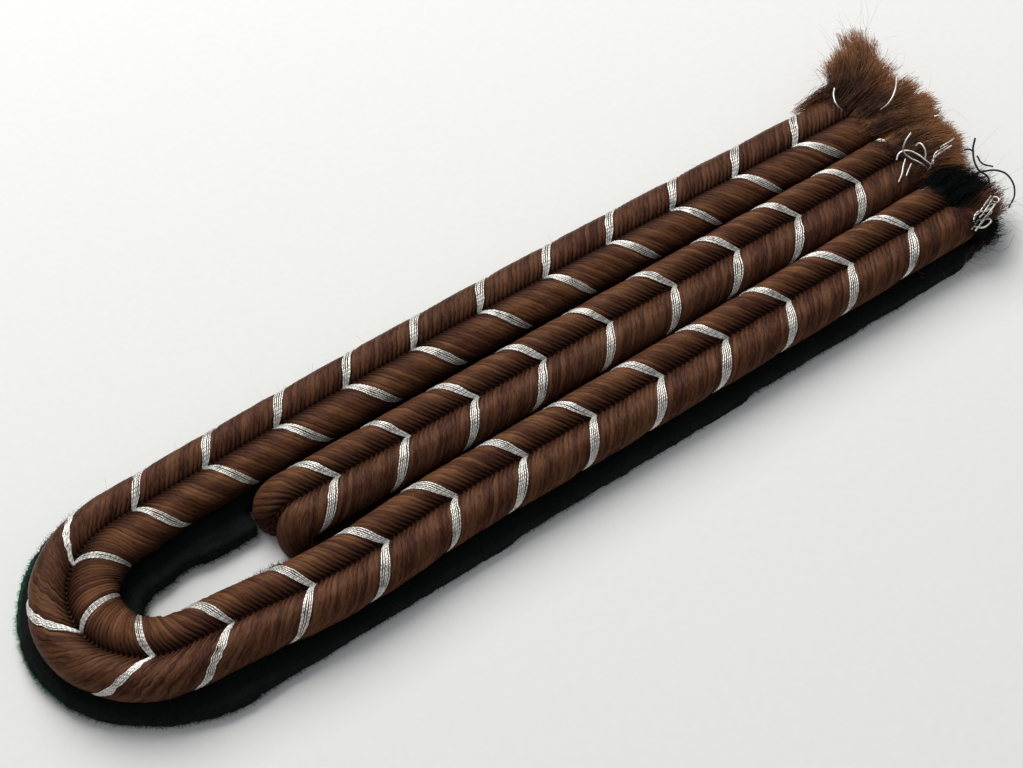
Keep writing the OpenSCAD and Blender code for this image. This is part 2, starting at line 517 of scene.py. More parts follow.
def rgba(colour: object) -> object:
    """Gives a colour an opaque alpha, and passes a socket on."""
    return (*colour, 1.0) if isinstance(colour, tuple) else colour


def new_material(name: str) -> tuple[bpy.types.Material, Graph]:
    """Starts a node material.

    Args:
        name: The finish's name.

    Returns:
        The material and its empty graph.
    """
    material = bpy.data.materials.new(name)
    material.use_nodes = True
    return material, Graph(material.node_tree)


class Effect(Enum):
    """Effects that several materials share, each a shader node group."""

    FILAMENTS = "Fine filaments"
    FIBRES = "Matted fibres"

    def group(self) -> bpy.types.NodeTree:
        """Finds the effect's node group, and builds it the first time."""
        found = bpy.data.node_groups.get(self.value)
        return found or {Effect.FILAMENTS: build_filaments, Effect.FIBRES: build_fibres}[self]()

    def place(self, graph: Graph, values: dict) -> bpy.types.Node:
        """Places the effect in a material with the material's own values."""
        return graph.add("Group", values, node_tree=self.group())


def open_group(name: str, inputs: Sequence[tuple], outputs: Sequence[tuple]) -> Graph:
    """Starts a node group with named sockets.

    Args:
        name: The group's name.
        inputs: Name, socket type and default value of each input.
        outputs: Name and socket type of each output.

    Returns:
        The group's graph.
    """
    tree = bpy.data.node_groups.new(name, "ShaderNodeTree")
    for label, kind, default in inputs:
        socket = tree.interface.new_socket(label, in_out="INPUT", socket_type=kind)
        if default is not None:
            socket.default_value = default
    for label, kind in outputs:
        tree.interface.new_socket(label, in_out="OUTPUT", socket_type=kind)
    return Graph(tree)


def group_ends(graph: Graph) -> tuple[bpy.types.Node, bpy.types.Node]:
    """Adds a group's input and output nodes."""
    return graph.tree.nodes.new("NodeGroupInput"), graph.tree.nodes.new("NodeGroupOutput")


def build_filaments() -> bpy.types.NodeTree:
    """Builds long fine streaks along the second axis of a pattern's coordinates.

    Returns:
        The node group.
    """
    graph = open_group(
        Effect.FILAMENTS.value,
        [("Vector", "NodeSocketVector", None), ("Across", "NodeSocketFloat", 10.0),
         ("Along", "NodeSocketFloat", 1.0)],
        [("Streaks", "NodeSocketFloat"), ("Height", "NodeSocketFloat")])
    start, end = group_ends(graph)
    scale = graph.add("CombineXYZ", {0: start.outputs["Across"], 1: start.outputs["Along"],
                                     2: start.outputs["Across"]})
    place = graph.add("VectorMath", {0: start.outputs["Vector"], 1: scale.outputs[0]},
                      operation="MULTIPLY")
    coarse = graph.noise(place.outputs[0], 0.5, 1.0)
    fine = graph.noise(place.outputs[0], 1.7, 2.0, roughness=0.6)
    streaks = graph.math("MULTIPLY_ADD", coarse, 0.45, graph.math("MULTIPLY", fine, 0.55))
    graph.tree.links.new(streaks, end.inputs["Streaks"])
    graph.tree.links.new(fine, end.inputs["Height"])
    return graph.tree


def build_fibres() -> bpy.types.NodeTree:
    """Builds the mottled, crossing fibres of milled wool.

    Returns:
        The node group.
    """
    graph = open_group(
        Effect.FIBRES.value,
        [("Vector", "NodeSocketVector", None), ("Scale", "NodeSocketFloat", 3000.0)],
        [("Mottle", "NodeSocketFloat"), ("Height", "NodeSocketFloat")])
    start, end = group_ends(graph)
    vector, scale = start.outputs["Vector"], start.outputs["Scale"]
    patch = graph.noise(vector, graph.math("MULTIPLY", scale, 0.12), 2.0)
    curl = graph.noise(vector, graph.math("MULTIPLY", scale, 0.4), 1.0, distortion=1.5)
    hair = graph.noise(vector, scale, 3.0, roughness=0.7, distortion=0.8)
    mottle = graph.math("MULTIPLY_ADD", patch, 0.4, graph.math("MULTIPLY", hair, 0.6))
    height = graph.math("MULTIPLY_ADD", curl, 0.5, graph.math("MULTIPLY", hair, 0.5))
    graph.tree.links.new(mottle, end.inputs["Mottle"])
    graph.tree.links.new(height, end.inputs["Height"])
    return graph.tree


# Finishes


@dataclass(frozen=True)
class WoundSilk:
    """Satin brown silk, wound in single threads. Reads the thread's own map."""

    name: str = "Wound silk"
    # Painted shade in the creases between threads
    crease: Colour = (0.0075, 0.0032, 0.0024)
    # Painted shade by the groove and at the rib's foot, also the colour of the darker filaments
    shade_and_streak: Colour = (0.023, 0.0083, 0.0052)
    thread: Colour = (0.086, 0.0320, 0.0140)
    # Painted sheen: the lighter threads and filaments, spread at random, take the highlights'
    # colour
    sheen_streak: Colour = (0.170, 0.0745, 0.0310)
    red: Colour = (0.070, 0.0240, 0.0140)
    # Shares of ten threads' width from the groove: where the painted shade by the groove is full,
    # half and gone, and where the painted shade on the rib's far side starts and is full
    shade: tuple = (0.06, 0.20, 0.36)
    far_side: tuple = (0.58, 0.82)
    # How dark the painted shade on the far side and in the gaps between threads is
    foot: float = 0.8
    gaps: float = 0.80
    # How much one thread differs from the next, how many filaments it shows and how dark
    # some of these are
    uneven: float = 0.20
    fineness: float = 6.0
    streaks: float = 0.5
    patches: float = 230.0
    relief: float = 0.06 * MM

    def tops(self, graph: Graph, number: Socket, streaks: Socket, far: Socket) -> Socket:
        """Colours the threads but not their gaps, with painted shade by the groove and far side.

        Args:
            graph: The material's graph.
            number: Number of the thread.
            streaks: Its filaments.
            far: Distance from the groove, in tens of threads' widths.

        Returns:
            The colour.
        """
        tone = graph.math("ADD", graph.math("MULTIPLY", graph.toss(number), self.uneven),
                          graph.math("MULTIPLY", streaks, 1 - self.uneven))
        patch = graph.noise(graph.object_place(), self.patches, 2.0)
        silk = graph.mix(graph.fade(patch, 0.38, 0.62), self.thread, self.red)
        # Painted sheen on the lighter threads and filaments
        silk = graph.mix(graph.fade(tone, 0.44, 0.66), silk, self.sheen_streak)
        silk = graph.mix(graph.ramp(tone, [(0.35, grey(self.streaks)), (0.49, BLACK)]), silk,
                         self.shade_and_streak)
        # Painted shade by the groove and on the rib's far side
        stops = [*zip(self.shade, (WHITE, grey(0.5), BLACK)),
                 *zip(self.far_side, (BLACK, grey(self.foot)))]
        return graph.mix(graph.ramp(far, stops), silk, self.shade_and_streak)

    def gap(self, graph: Graph, count: Socket, streaks: Socket, far: Socket) -> Socket:
        """Marks the painted shade in the gaps between threads, uneven and strongest at the groove.

        Args:
            graph: The material's graph.
            count: Number of the thread and share of its width.
            streaks: Its filaments.
            far: Distance from the groove, in tens of threads' widths.

        Returns:
            The mask.
        """
        odd = graph.toss(graph.math("ADD", graph.math("FLOOR", count), 0.5))
        middle = graph.math("SUBTRACT", 1.0, graph.math("ABSOLUTE", graph.math(
            "MULTIPLY_ADD", graph.math("FRACT", count), 2.0, -1.0)))
        gap = graph.math("MULTIPLY", graph.fade(middle, 0.34, 0.0),
                         graph.math("MULTIPLY_ADD", odd, self.gaps, self.gaps / 3))
        gap = graph.math("MULTIPLY", gap,
                         graph.ramp(streaks, [(0.42, WHITE), (0.58, grey(0.5))]))
        return graph.math("MULTIPLY", gap, graph.ramp(
            far, [(0.0, WHITE), (0.16, grey(0.85)), (0.4, grey(0.72))]))

    def material(self) -> bpy.types.Material:
        """Builds the material.

        Returns:
            The material.
        """
        material, graph = new_material(self.name)
        thread = graph.uv_map("Thread")
        across, along, _ = graph.split(thread)
        # A hair's breadth keeps a thread's edge out of the thread before it
        count = graph.math("ADD", across, 0.001)
        slope = WINDING.slant
        girth = graph.math("DIVIDE", graph.math("MULTIPLY_ADD", across, slope, along),
                           1 + slope ** 2)
        far = graph.math("MULTIPLY", girth, 0.1)
        filaments = Effect.FILAMENTS.place(graph, {"Vector": thread, "Across": self.fineness,
                                                   "Along": 0.4})
        streaks = filaments.outputs["Streaks"]
        # Painted shade darkens the gaps between threads to the crease colour
        colour = graph.mix(self.gap(graph, count, streaks, far),
                           self.tops(graph, graph.math("FLOOR", count), streaks, far),
                           self.crease)
        lie = graph.add("Tangent", direction_type="UV_MAP", uv_map="Thread")
        graph.surface({"Base Color": colour, "Metallic": 0.18, "Roughness": 0.5,
                       "Normal": graph.bump(filaments.outputs["Height"], 0.7, self.relief),
                       "Tangent": lie.outputs[0], "Anisotropic": 0.8,
                       "Specular IOR Level": 0.05, "Sheen Weight": 0.06,
                       "Sheen Roughness": 0.5, "Sheen Tint": (0.55, 0.34, 0.25, 1)})
        return material


@dataclass(frozen=True)
class SilverThread:
    """Silver wire spun round a thread. Reads the wire's own map, where a piece has it."""

    bright: Colour = (0.84, 0.82, 0.77)
    dull: Colour = (0.30, 0.285, 0.26)
    # Painted shade in the crevices between the wire's turns
    seam: Colour = (0.06, 0.055, 0.05)
    # Length of one turn of the wire, in millimetres
    turn: float = 0.30
    grain: float = 5200.0
    patches: float = 900.0
    relief: float = 0.03 * MM

    def material(self) -> bpy.types.Material:
        """Builds the material.

        Returns:
            The material.
        """
        material, graph = new_material("Silver thread")
        place = graph.object_place()
        around, along, _ = graph.split(graph.uv_map("Wire"))
        phase = graph.math("ADD", graph.math("DIVIDE", along, self.turn), around)
        coil = graph.math("MULTIPLY_ADD", graph.math(
            "COSINE", graph.math("MULTIPLY", phase, 2 * math.pi)), 0.5, 0.5)
        grain = graph.noise(place, self.grain, 2.0, roughness=0.7)
        patch = graph.noise(place, self.patches, 1.0)
        tarnish = graph.fade(graph.math("MULTIPLY_ADD", patch, 0.5,
                                        graph.math("MULTIPLY", grain, 0.5)), 0.54, 0.34)
        metal = graph.mix(tarnish, self.bright, self.dull)
        # Painted shade darkens the wire between its turns
        colour = graph.mix(graph.ramp(coil, [(0.0, grey(0.50)), (0.4, WHITE)]), self.seam, metal)
        height = graph.math("MULTIPLY_ADD", grain, 0.3, coil)
        graph.surface({"Base Color": colour, "Metallic": 0.6,
                       "Roughness": graph.math("MULTIPLY_ADD", grain, 0.3, 0.25),
                       "Normal": graph.bump(height, 0.45, self.relief)})
        return material


@dataclass(frozen=True)
class WoolFelt:
    """Milled dark wool with green fibres, painted green only along the round end's lit outermost
    edge.
    """

    name: str = "Wool felt"
    deep: Colour = (0.0042, 0.0048, 0.0047)
    loose: Colour = (0.0105, 0.0125, 0.0120)
    green: Colour = (0.013, 0.120, 0.057)
    # The green starts this far from the round end's centre
    rim: float = 15.5 * MM
    rim_fade: float = 0.35 * MM
    # It ends at this height, and higher by the rise for each metre towards +Y and the lamp
    top: float = 1.7 * MM
    rise: float = 0.065
    # It fades out along the legs
    green_end: float = -54 * MM
    fade: float = 9 * MM
    scale: float = 2600.0
    relief: float = 0.12 * MM

    def lit_rim_mask(self, graph: Graph, place: Socket) -> Socket:
        """Marks the green edge of the round end: painted light where the lamp lights it.

        Args:
            graph: The material's graph.
            place: The place on the object.

        Returns:
            The mask.
        """
        x, y, z = graph.split(place)
        height = graph.math("DIVIDE", graph.math("MULTIPLY_ADD", y, -self.rise, z), self.top)
        beyond = graph.math("MINIMUM", graph.math("SUBTRACT", x, BOARD.round_x), 0.0)
        radius = graph.math("SQRT", graph.math("ADD", graph.math("MULTIPLY", beyond, beyond),
                                               graph.math("MULTIPLY", y, y)))
        outside = graph.math("DIVIDE", graph.math("SUBTRACT", radius, self.rim), self.rim_fade)
        along = graph.math("DIVIDE", graph.math("SUBTRACT", x, self.green_end), self.fade)
        mask = graph.math("MULTIPLY", graph.fade(height, 1.0, 0.60), graph.fade(along, 1.0, 0.0))
        return graph.math("MULTIPLY", mask, graph.fade(outside, 0.0, 1.0))

    def material(self) -> bpy.types.Material:
        """Builds the material.

        Returns:
            The material.
        """
        material, graph = new_material(self.name)
        place = graph.object_place()
        fibres = Effect.FIBRES.place(graph, {"Vector": place, "Scale": self.scale})
        # Painted light: the green shows only on the round end's lit rim
        loose = graph.mix(self.lit_rim_mask(graph, place), self.loose, self.green)
        colour = graph.mix(graph.fade(fibres.outputs["Mottle"], 0.38, 0.66), self.deep, loose)
        graph.surface({"Base Color": colour, "Roughness": 0.95,
                       "Normal": graph.bump(fibres.outputs["Height"], 0.9, self.relief),
                       "Specular IOR Level": 0.1, "Sheen Weight": 0.03, "Sheen Roughness": 0.6,
                       "Sheen Tint": (0.20, 0.42, 0.34, 1)})
        return material


@dataclass(frozen=True)
class FrayedSilk:
    """Loose silk filaments, dark where they leave the cord and tan at their tips, painted shade in
    the tuft's dense middle and painted light on its outer tips.

    Reads the map of a strand's length.
    """

    name: str = "Frayed silk"
    root: Colour = (0.048, 0.0180, 0.0100)
    tip: Colour = (0.380, 0.175, 0.078)
    # How late along a strand it turns to the colour of its tip
    power: float = 2.6
    patches: float = 420.0

    def material(self) -> bpy.types.Material:
        """Builds the material.

        Returns:
            The material.
        """
        material, graph = new_material(self.name)
        place = graph.object_place()
        share = graph.split(graph.uv_map("Strand"))[0]
        turned = graph.add("Mapping", {"Vector": place, "Rotation": (0, 0, math.pi / 2),
                                       "Scale": (1 / MM,) * 3}).outputs[0]
        streak = Effect.FILAMENTS.place(graph, {"Vector": turned, "Across": 4.0, "Along": 0.35})
        patch = graph.noise(place, self.patches, 1.0)
        tone = graph.math("ADD", graph.math("MULTIPLY", graph.math("POWER", share, self.power),
                                            0.85),
                          graph.math("SUBTRACT", streak.outputs["Streaks"], 0.42))
        tone = graph.math("ADD", tone, graph.math("MULTIPLY_ADD", patch, 0.7, -0.35))
        # Painted shade at the roots, painted light towards the tips
        colour = graph.mix(graph.fade(tone, 0.05, 0.85), self.root, self.tip)
        graph.surface({"Base Color": colour, "Roughness": 0.6, "Specular IOR Level": 0.12})
        return material


@dataclass(frozen=True)
class SewingThread:
    """Twisted dark blue-green sewing cotton."""

    dark: Colour = (0.006, 0.014, 0.018)
    light: Colour = (0.030, 0.060, 0.072)
    twist: float = 3200.0
    relief: float = 0.05 * MM

    def material(self) -> bpy.types.Material:
        """Builds the material.

        Returns:
            The material.
        """
        material, graph = new_material("Sewing thread")
        twist = graph.noise(graph.object_place(), self.twist, 2.0)
        colour = graph.mix(graph.fade(twist, 0.4, 0.65), self.dark, self.light)
        graph.surface({"Base Color": colour, "Roughness": 0.7, "Specular IOR Level": 0.3,
                       "Normal": graph.bump(twist, 0.7, self.relief)})
        return material


# The finishes that differ from their kind's usual one
# The right ribs' silk is a dimmer copy of the left ribs': painted darker and redder with less
# painted sheen, as their threads catch less light, with a narrower painted shade by the groove and
# none at the foot
LESS_LIT_SILK = WoundSilk(
    "Wound silk, painted less lit", thread=(0.064, 0.0245, 0.0123), sheen_streak=(0.124, 0.0550, 0.0258),
    red=(0.059, 0.0200, 0.0120), shade=(0.0, 0.07, 0.17), gaps=0.62, uneven=0.16, fineness=3.2,
    streaks=0.8, foot=0.0)
# The fuzz's bright green is painted light on the round end's lit rim
LOOSE_WOOL = WoolFelt("Loose wool", (0.005, 0.0065, 0.006), (0.016, 0.021, 0.019),
                      (0.095, 0.620, 0.280))
CORE_WOOL = WoolFelt("Core wool", (0.002, 0.0022, 0.0025), (0.007, 0.0075, 0.008), scale=3600.0)
DARK_FRAY = FrayedSilk("Frayed silk, dark", tip=(0.17, 0.070, 0.034))


# Cords and chevrons


class RibSide(Enum):
    """The two ribs of a cord, by the side of its groove that they lie on."""

    LEFT = 1
    RIGHT = -1


@dataclass(frozen=True)
class Bend:
    """A sharp bend of a cord to the left, and how its threads follow it."""

    start: float
    end: float
    # Share of the bend's length that lies inside a window, size of the inner rib in it
    bulges: tuple = ((-0.10, 1.05), (0.0, 1.07), (0.10, 1.09), (0.20, 1.07), (0.32, 1.05))
    # Reach of the windows about the bend's start, in which the inner rib is larger again
    spurs: tuple = (8.0, 5.5, 3.0)
    spur: float = 1.06
    # Windows in which the outer rib lags behind, along it and across it
    along_steps: tuple = (1.0, 0.85, 0.70, 0.55, 0.40)
    across_steps: tuple = (0.8, 1.8, 2.8, 3.8)

    @property
    def lags(self) -> tuple:
        """Middle and reach of each stretch where the outer rib lags behind, and by how much."""
        return ((self.start + 7.0 * MM, 11.0 * MM, 1.45 * MM),
                (self.end - 0.8 * MM, 6.5 * MM, 1.6 * MM))

    def holds(self, place: float) -> bool:
        """Says whether a place along the cord lies in the bend."""
        return self.start < place < self.end

    def prepare(self, piece: bpy.types.Object) -> None:
        """Makes a straight piece ready for the bend.

        Its left side bulges there, and its right side lags behind, most where the bend starts
        and where it ends.

        Args:
            piece: A rib or the chevrons.
        """
        axis = BOARD.rib_width / 2
        windows = [(self.start + margin * (self.end - self.start),
                    self.end - margin * (self.end - self.start), size)
                   for margin, size in self.bulges]
        middle = self.start + 0.5 * MM
        windows += [(middle - reach * MM, middle + reach * MM, self.spur)
                    for reach in self.spurs]
        with editing(piece):
            for low, high, size in windows:
                if choose(piece, lambda place: low < place.x < high and place.y > axis):
                    bpy.ops.transform.resize(value=(1, size, 1), center_override=(0, axis, 0))
            for middle, reach, most in self.lags:
                for share in self.along_steps:
                    for across in self.across_steps:
                        if choose(piece, lambda place: abs(place.x - middle) < reach * share
                                  and place.y < -across * MM):
                            bpy.ops.transform.translate(value=(
                                -most / len(self.along_steps) / len(self.across_steps), 0, 0))


def widen(piece: bpy.types.Object) -> None:
    """Widens the edited section on the X axis to a rib's: more towards its groove at +Y.

    Args:
        piece: The object in edit mode.
    """
    for sign, half in ((1, BOARD.inner_half), (-1, BOARD.outer_half)):
        choose(piece, lambda place: sign * place.y > 0.001 * MM)
        bpy.ops.transform.resize(value=(1, half / BOARD.half_height, 1),
                                 center_override=(0, 0, 0))


def put_on_side(piece: bpy.types.Object, side: RibSide, along: float = 0.0) -> None:
    """Moves a part from the X axis to its rib's place, and mirrors it for the left rib.

    Args:
        piece: The part, with its groove towards +Y.
        side: Its rib.
        along: How far it moves along the cord.
    """
    with editing(piece):
        bpy.ops.mesh.select_all(action="SELECT")
        bpy.ops.transform.translate(value=(along, -BOARD.rib_width / 2, 0))
        if side is RibSide.LEFT:
            bpy.ops.transform.resize(value=(1, -1, 1), center_override=(0, 0, 0))


@dataclass
class Rib:
    """One wound rib, modelled as one turn of thread that is repeated along the cord.

    It is built straight along X. Its cord's groove lies over the X axis.
    """

    side: RibSide
    sides: int = 40
    # How far the threads waver along the cord, and how high their ridges stand
    waver: ClassVar = {RibSide.LEFT: 0.30 * MM, RibSide.RIGHT: 0.12 * MM}
    relief: ClassVar = {RibSide.LEFT: 0.95, RibSide.RIGHT: 0.50}
    # Share of a thread's width, share of its ridge's height
    profile: tuple = ((0.13, 0.60), (0.32, 0.92), (0.50, 1.00), (0.68, 0.92), (0.87, 0.60),
                      (1.00, 0.00))
    # Angle from straight outwards in degrees, depth of the creases there in millimetres
    notches: tuple = ((99, 0.02), (108, 0.04), (117, 0.08), (126, 0.14), (135, 0.21),
                      (144, 0.28), (153, 0.29), (162, 0.20))
    # Distance from a silver band in millimetres, how thin the rib is there
    draws: tuple = ((2.4, 0.990), (1.6, 0.985), (1.1, 0.975), (0.75, 0.965))
    # Distance from a frayed end in millimetres, how thin the rib is there
    falls: tuple = ((1.2, 0.99), (0.8, 0.97), (0.4, 0.93))

    @property
    def base(self) -> float:
        """Radius of the crease between two threads, before the rib is made wider."""
        return BOARD.half_height - WINDING.ridge

    def angle(self, place: Vector) -> float:
        """Angle of a point from straight outwards, for a groove towards +Y.

        Args:
            place: A point on the rib, built with its centre on the X axis.

        Returns:
            The angle, from a full turn under the groove up to the groove.
        """
        angle = self.raw_angle(place)
        return angle - 2 * math.pi if angle > WINDING.groove_angle + 0.02 else angle

    def raw_angle(self, place: Vector) -> float:
        """Angle of a point from straight outwards, from half a turn under to half a turn over."""
        half = BOARD.inner_half if place.y > 0 else BOARD.outer_half
        return math.atan2(place.z / BOARD.half_height, -place.y / half)

    def turn_of_thread(self) -> bpy.types.Object:
        """Models one turn of thread with its centre on the X axis and its groove towards +Y.

        Returns:
            The turn, open at both sides.
        """
        bpy.ops.mesh.primitive_circle_add(vertices=self.sides, radius=self.base,
                                          rotation=(0, math.pi / 2, 0))
        piece = bpy.context.object
        settle(piece)
        low = -0.45 * BOARD.half_height
        with editing(piece):
            choose(piece, lambda place: place.z < low and abs(place.y) > 0.1 * MM)
            bpy.ops.mesh.dissolve_verts()
            widen(piece)
            bpy.ops.mesh.select_all(action="SELECT")
            last_share, last_size = 0.0, 1.0
            for share, rise in self.profile:
                size = 1 + self.relief[self.side] * rise * WINDING.ridge / self.base
                bpy.ops.mesh.extrude_region_move(TRANSFORM_OT_translate={
                    "value": ((share - last_share) * WINDING.pitch, 0, 0)})
                bpy.ops.transform.resize(value=(1, size / last_size, size / last_size),
                                         center_override=(0, 0, 0))
                last_share, last_size = share, size
        self.map_thread(piece)
        self.notch(piece)
        self.slant(piece)
        return piece

    def map_thread(self, piece: bpy.types.Object) -> None:
        """Maps a turn: U runs across the threads and counts them, V runs along them.

        Args:
            piece: The turn, before it is slanted.
        """
        layer = piece.data.uv_layers.new(name="Thread")
        places = [vertex.co for vertex in piece.data.vertices]
        for face in piece.data.polygons:
            inner = face.center.y > 0 and face.center.z < 0
            for loop in face.loop_indices:
                place = places[piece.data.loops[loop].vertex_index]
                angle = self.angle(place)
                if inner and abs(place.y) < 0.1 * MM and place.z < 0:
                    angle += 2 * math.pi
                across = place.x / WINDING.pitch
                girth = WINDING.girth(angle) / WINDING.pitch
                slope = WINDING.slant
                layer.data[loop].uv = (across, girth * (1 + slope ** 2) - slope * across)

    def notch(self, piece: bpy.types.Object) -> None:
        """Sinks the creases towards the groove, so that the threads end there in rounded tips.

        Args:
            piece: The turn.
        """
        with editing(piece):
            for degrees, depth in self.notches:
                row = math.radians(degrees)
                size = 1 - depth * MM / 2 / WINDING.radius(row)
                for reach in (0.2, 0.05):
                    choose(piece, lambda place: abs(self.raw_angle(place) - row) < 0.02 and min(
                        place.x, WINDING.pitch - place.x) < reach * WINDING.pitch)
                    bpy.ops.transform.resize(value=(1, size, size), center_override=(0, 0, 0))

    def slant(self, piece: bpy.types.Object) -> None:
        """Draws each row of a turn back along the cord, by its thread's lag.

        Args:
            piece: The turn.
        """
        rows = sorted({round(self.angle(vertex.co), 3) for vertex in piece.data.vertices})
        with editing(piece):
            for row in rows:
                choose(piece, lambda place: abs(self.angle(place) - row) < 0.002)
                bpy.ops.transform.translate(value=(-WINDING.lag(row), 0, 0))

    def swell(self, piece: bpy.types.Object, test: Callable[[Vector], bool], size: float) -> None:
        """Makes the rib thicker or thinner about its own axis.

        Args:
            piece: The rib.
            test: Says of a vertex's place whether it moves.
            size: The factor.
        """
        with editing(piece):
            choose(piece, test)
            bpy.ops.transform.resize(
                value=(1, size, size),
                center_override=(0, self.side.value * BOARD.rib_width / 2, 0))

    def draw_in(self, piece: bpy.types.Object, bands: Sequence[float]) -> None:
        """Draws the rib in where silver bands cross it, so that it bulges between them.

        Args:
            piece: The rib.
            bands: Where the bands' points lie along the cord, in order.
        """
        def gap(place: Vector) -> float:
            """Distance along the cord from a point's thread to the nearest band.

            Args:
                place: The point.

            Returns:
                The distance.
            """
            centred = Vector((place.x, -self.side.value * place.y + BOARD.rib_width / 2, place.z))
            along = place.x + lag_at(round(self.angle(centred), 2))
            i = bisect_left(bands, along)
            return min(abs(along - band) for band in bands[max(0, i - 1):i + 1])

        for reach, size in self.draws:
            self.swell(piece, lambda place: gap(place) < reach * MM, size)

    def build(self, length: float, bands: Sequence[float], frayed: Sequence[float],
              bend: Bend | None = None) -> bpy.types.Object:
        """Winds the whole rib, straight along X from the origin.

        Args:
            length: Length of the cord.
            bands: Where silver bands cross it, in order along the cord.
            frayed: The ends along X that are frayed, where the rib falls away.
            bend: A sharp bend that the cord will take.

        Returns:
            The rib, with its ends cut square and closed.
        """
        piece = self.turn_of_thread()
        put_on_side(piece, self.side, -WINDING.pitch)
        reach = WINDING.lag(WINDING.turn_angle)
        modify(piece, "ARRAY", count=math.ceil((length + reach) / WINDING.pitch) + 2,
               use_relative_offset=False, use_constant_offset=True,
               constant_offset_displace=(WINDING.pitch, 0, 0), use_merge_vertices=True,
               merge_threshold=0.002 * MM, offset_u=1.0, offset_v=-WINDING.slant)
        self.draw_in(piece, bands)
        if bend:
            bend.prepare(piece)
        for end in frayed:
            for reach, size in self.falls:
                self.swell(piece, lambda place: abs(place.x - end) < reach * MM, size)
        uneven(piece, 2.6 * MM, 0.14 * MM)
        uneven(piece, 0.5 * MM, 0.05 * MM)
        uneven(piece, 1.1 * MM, self.waver[self.side], "X")
        cut_square(piece, length)
        return piece


def cut_square(piece: bpy.types.Object, length: float) -> None:
    """Cuts a straight piece off at both ends of its cord and closes the cuts.

    Args:
        piece: The piece, along X from the origin.
        length: Length of the cord.
    """
    with editing(piece):
        for place, inner in ((0.0, True), (length, False)):
            bpy.ops.mesh.select_all(action="SELECT")
            bpy.ops.mesh.bisect(plane_co=(place, 0, 0), plane_no=(1, 0, 0), use_fill=True,
                                clear_inner=inner, clear_outer=not inner, threshold=0.0005 * MM)
    close_up(piece)


@dataclass
class Chevron:
    """A silver band laid over both ribs of a cord in a V, its point over the origin."""

    # Where each wire lies along the cord in millimetres: at the groove, on the rib, at its foot
    wires: tuple = ((-0.21, -0.55, -0.15), (-0.11, -0.28, -0.09), (0.00, 0.00, 0.00),
                    (0.10, 0.28, 0.07), (0.22, 0.55, 0.15))
    spread: float = 1.0
    radius: float = 0.102 * MM
    sink: float = 0.12 * MM
    # How far a wire strays along the cord in millimetres, and the shares by which it stands proud
    stray: float = 0.05
    proud: tuple = (-0.008, 0.012)
    # How far its foot is tucked in, and from which share of its length
    tuck: float = 0.07
    tuck_from: float = 0.7
    steps: int = 15
    start_angle: float = math.radians(152)
    foot_angle: float = math.radians(-26)

    def wire(self) -> bpy.types.Object:
        """Models one wire over a rib that has its centre on the X axis.

        Returns:
            The wire, with a map whose U runs round it and V along it.
        """
        radius = BOARD.half_height - self.sink
        bpy.ops.mesh.primitive_circle_add(
            vertices=8, radius=self.radius,
            location=(0, -radius * math.cos(self.start_angle), radius * math.sin(self.start_angle)),
            rotation=(math.pi - self.start_angle, 0, 0))
        piece = bpy.context.object
        settle(piece)
        with editing(piece):
            bpy.ops.mesh.select_all(action="SELECT")
            bpy.ops.mesh.spin(steps=self.steps, angle=self.foot_angle - self.start_angle,
                              center=(0, 0, 0), axis=(1, 0, 0))
        close_up(piece)
        layer = piece.data.uv_layers.new(name="Wire")
        for face in piece.data.polygons:
            over = math.hypot(face.center.y, face.center.z) > radius
            for loop in face.loop_indices:
                place = piece.data.vertices[piece.data.loops[loop].vertex_index].co
                turn = math.atan2(math.hypot(place.y, place.z) - radius, place.x) / (2 * math.pi)
                if abs(turn) > 0.49:
                    turn = 0.5 if over else -0.5
                layer.data[loop].uv = (turn, (self.start_angle - row_angle(place)) * radius / MM)
        return piece

    def lay(self, piece: bpy.types.Object, places: Sequence[float], rng: random.Random) -> None:
        """Lays one wire on the rib: slanted like the threads, and tucked in at both ends.

        Args:
            piece: The wire.
            places: Where it lies at the groove, on the rib and at its foot, in millimetres.
            rng: Draws how unevenly it lies.
        """
        step = (self.start_angle - self.foot_angle) / self.steps
        start, middle, foot = (place * self.spread + rng.uniform(-self.stray, self.stray)
                               for place in places)
        proud = 1 + rng.uniform(*self.proud)
        with editing(piece):
            for row in range(self.steps + 1):
                angle = self.start_angle - row * step
                share = row / self.steps
                along = (start * (1 - share) ** 2 + foot * share ** 2
                         + 2 * share * (1 - share) * (2 * middle - (start + foot) / 2))
                size = proud - self.tuck * max(0.0, share - self.tuck_from) / (
                    1 - self.tuck_from)
                choose(piece, lambda place: abs(row_angle(place) - angle) < step / 3)
                bpy.ops.transform.resize(value=(1, size, size), center_override=(0, 0, 0))
                bpy.ops.transform.translate(value=(along * MM - WINDING.lag(angle), 0, 0))
            widen(piece)

    def arm(self, side: RibSide, rng: random.Random) -> bpy.types.Object:
        """Models the wires over one rib of a straight cord.

        Args:
            side: The rib.
            rng: Draws how unevenly they lie.

        Returns:
            The arm of the chevron.
        """
        model = self.wire()
        wires = [duplicate(model) for _ in self.wires]
        discard(model)
        for wire, places in zip(wires, self.wires):
            self.lay(wire, places, rng)
        arm = join("Arm", wires)
        put_on_side(arm, side)
        return arm


def row_angle(place: Vector) -> float:
    """Angle of a point round the X axis, from -Y over the top."""
    angle = math.atan2(place.z, -place.y)
    return angle + 2 * math.pi if angle < -math.pi / 2 else angle


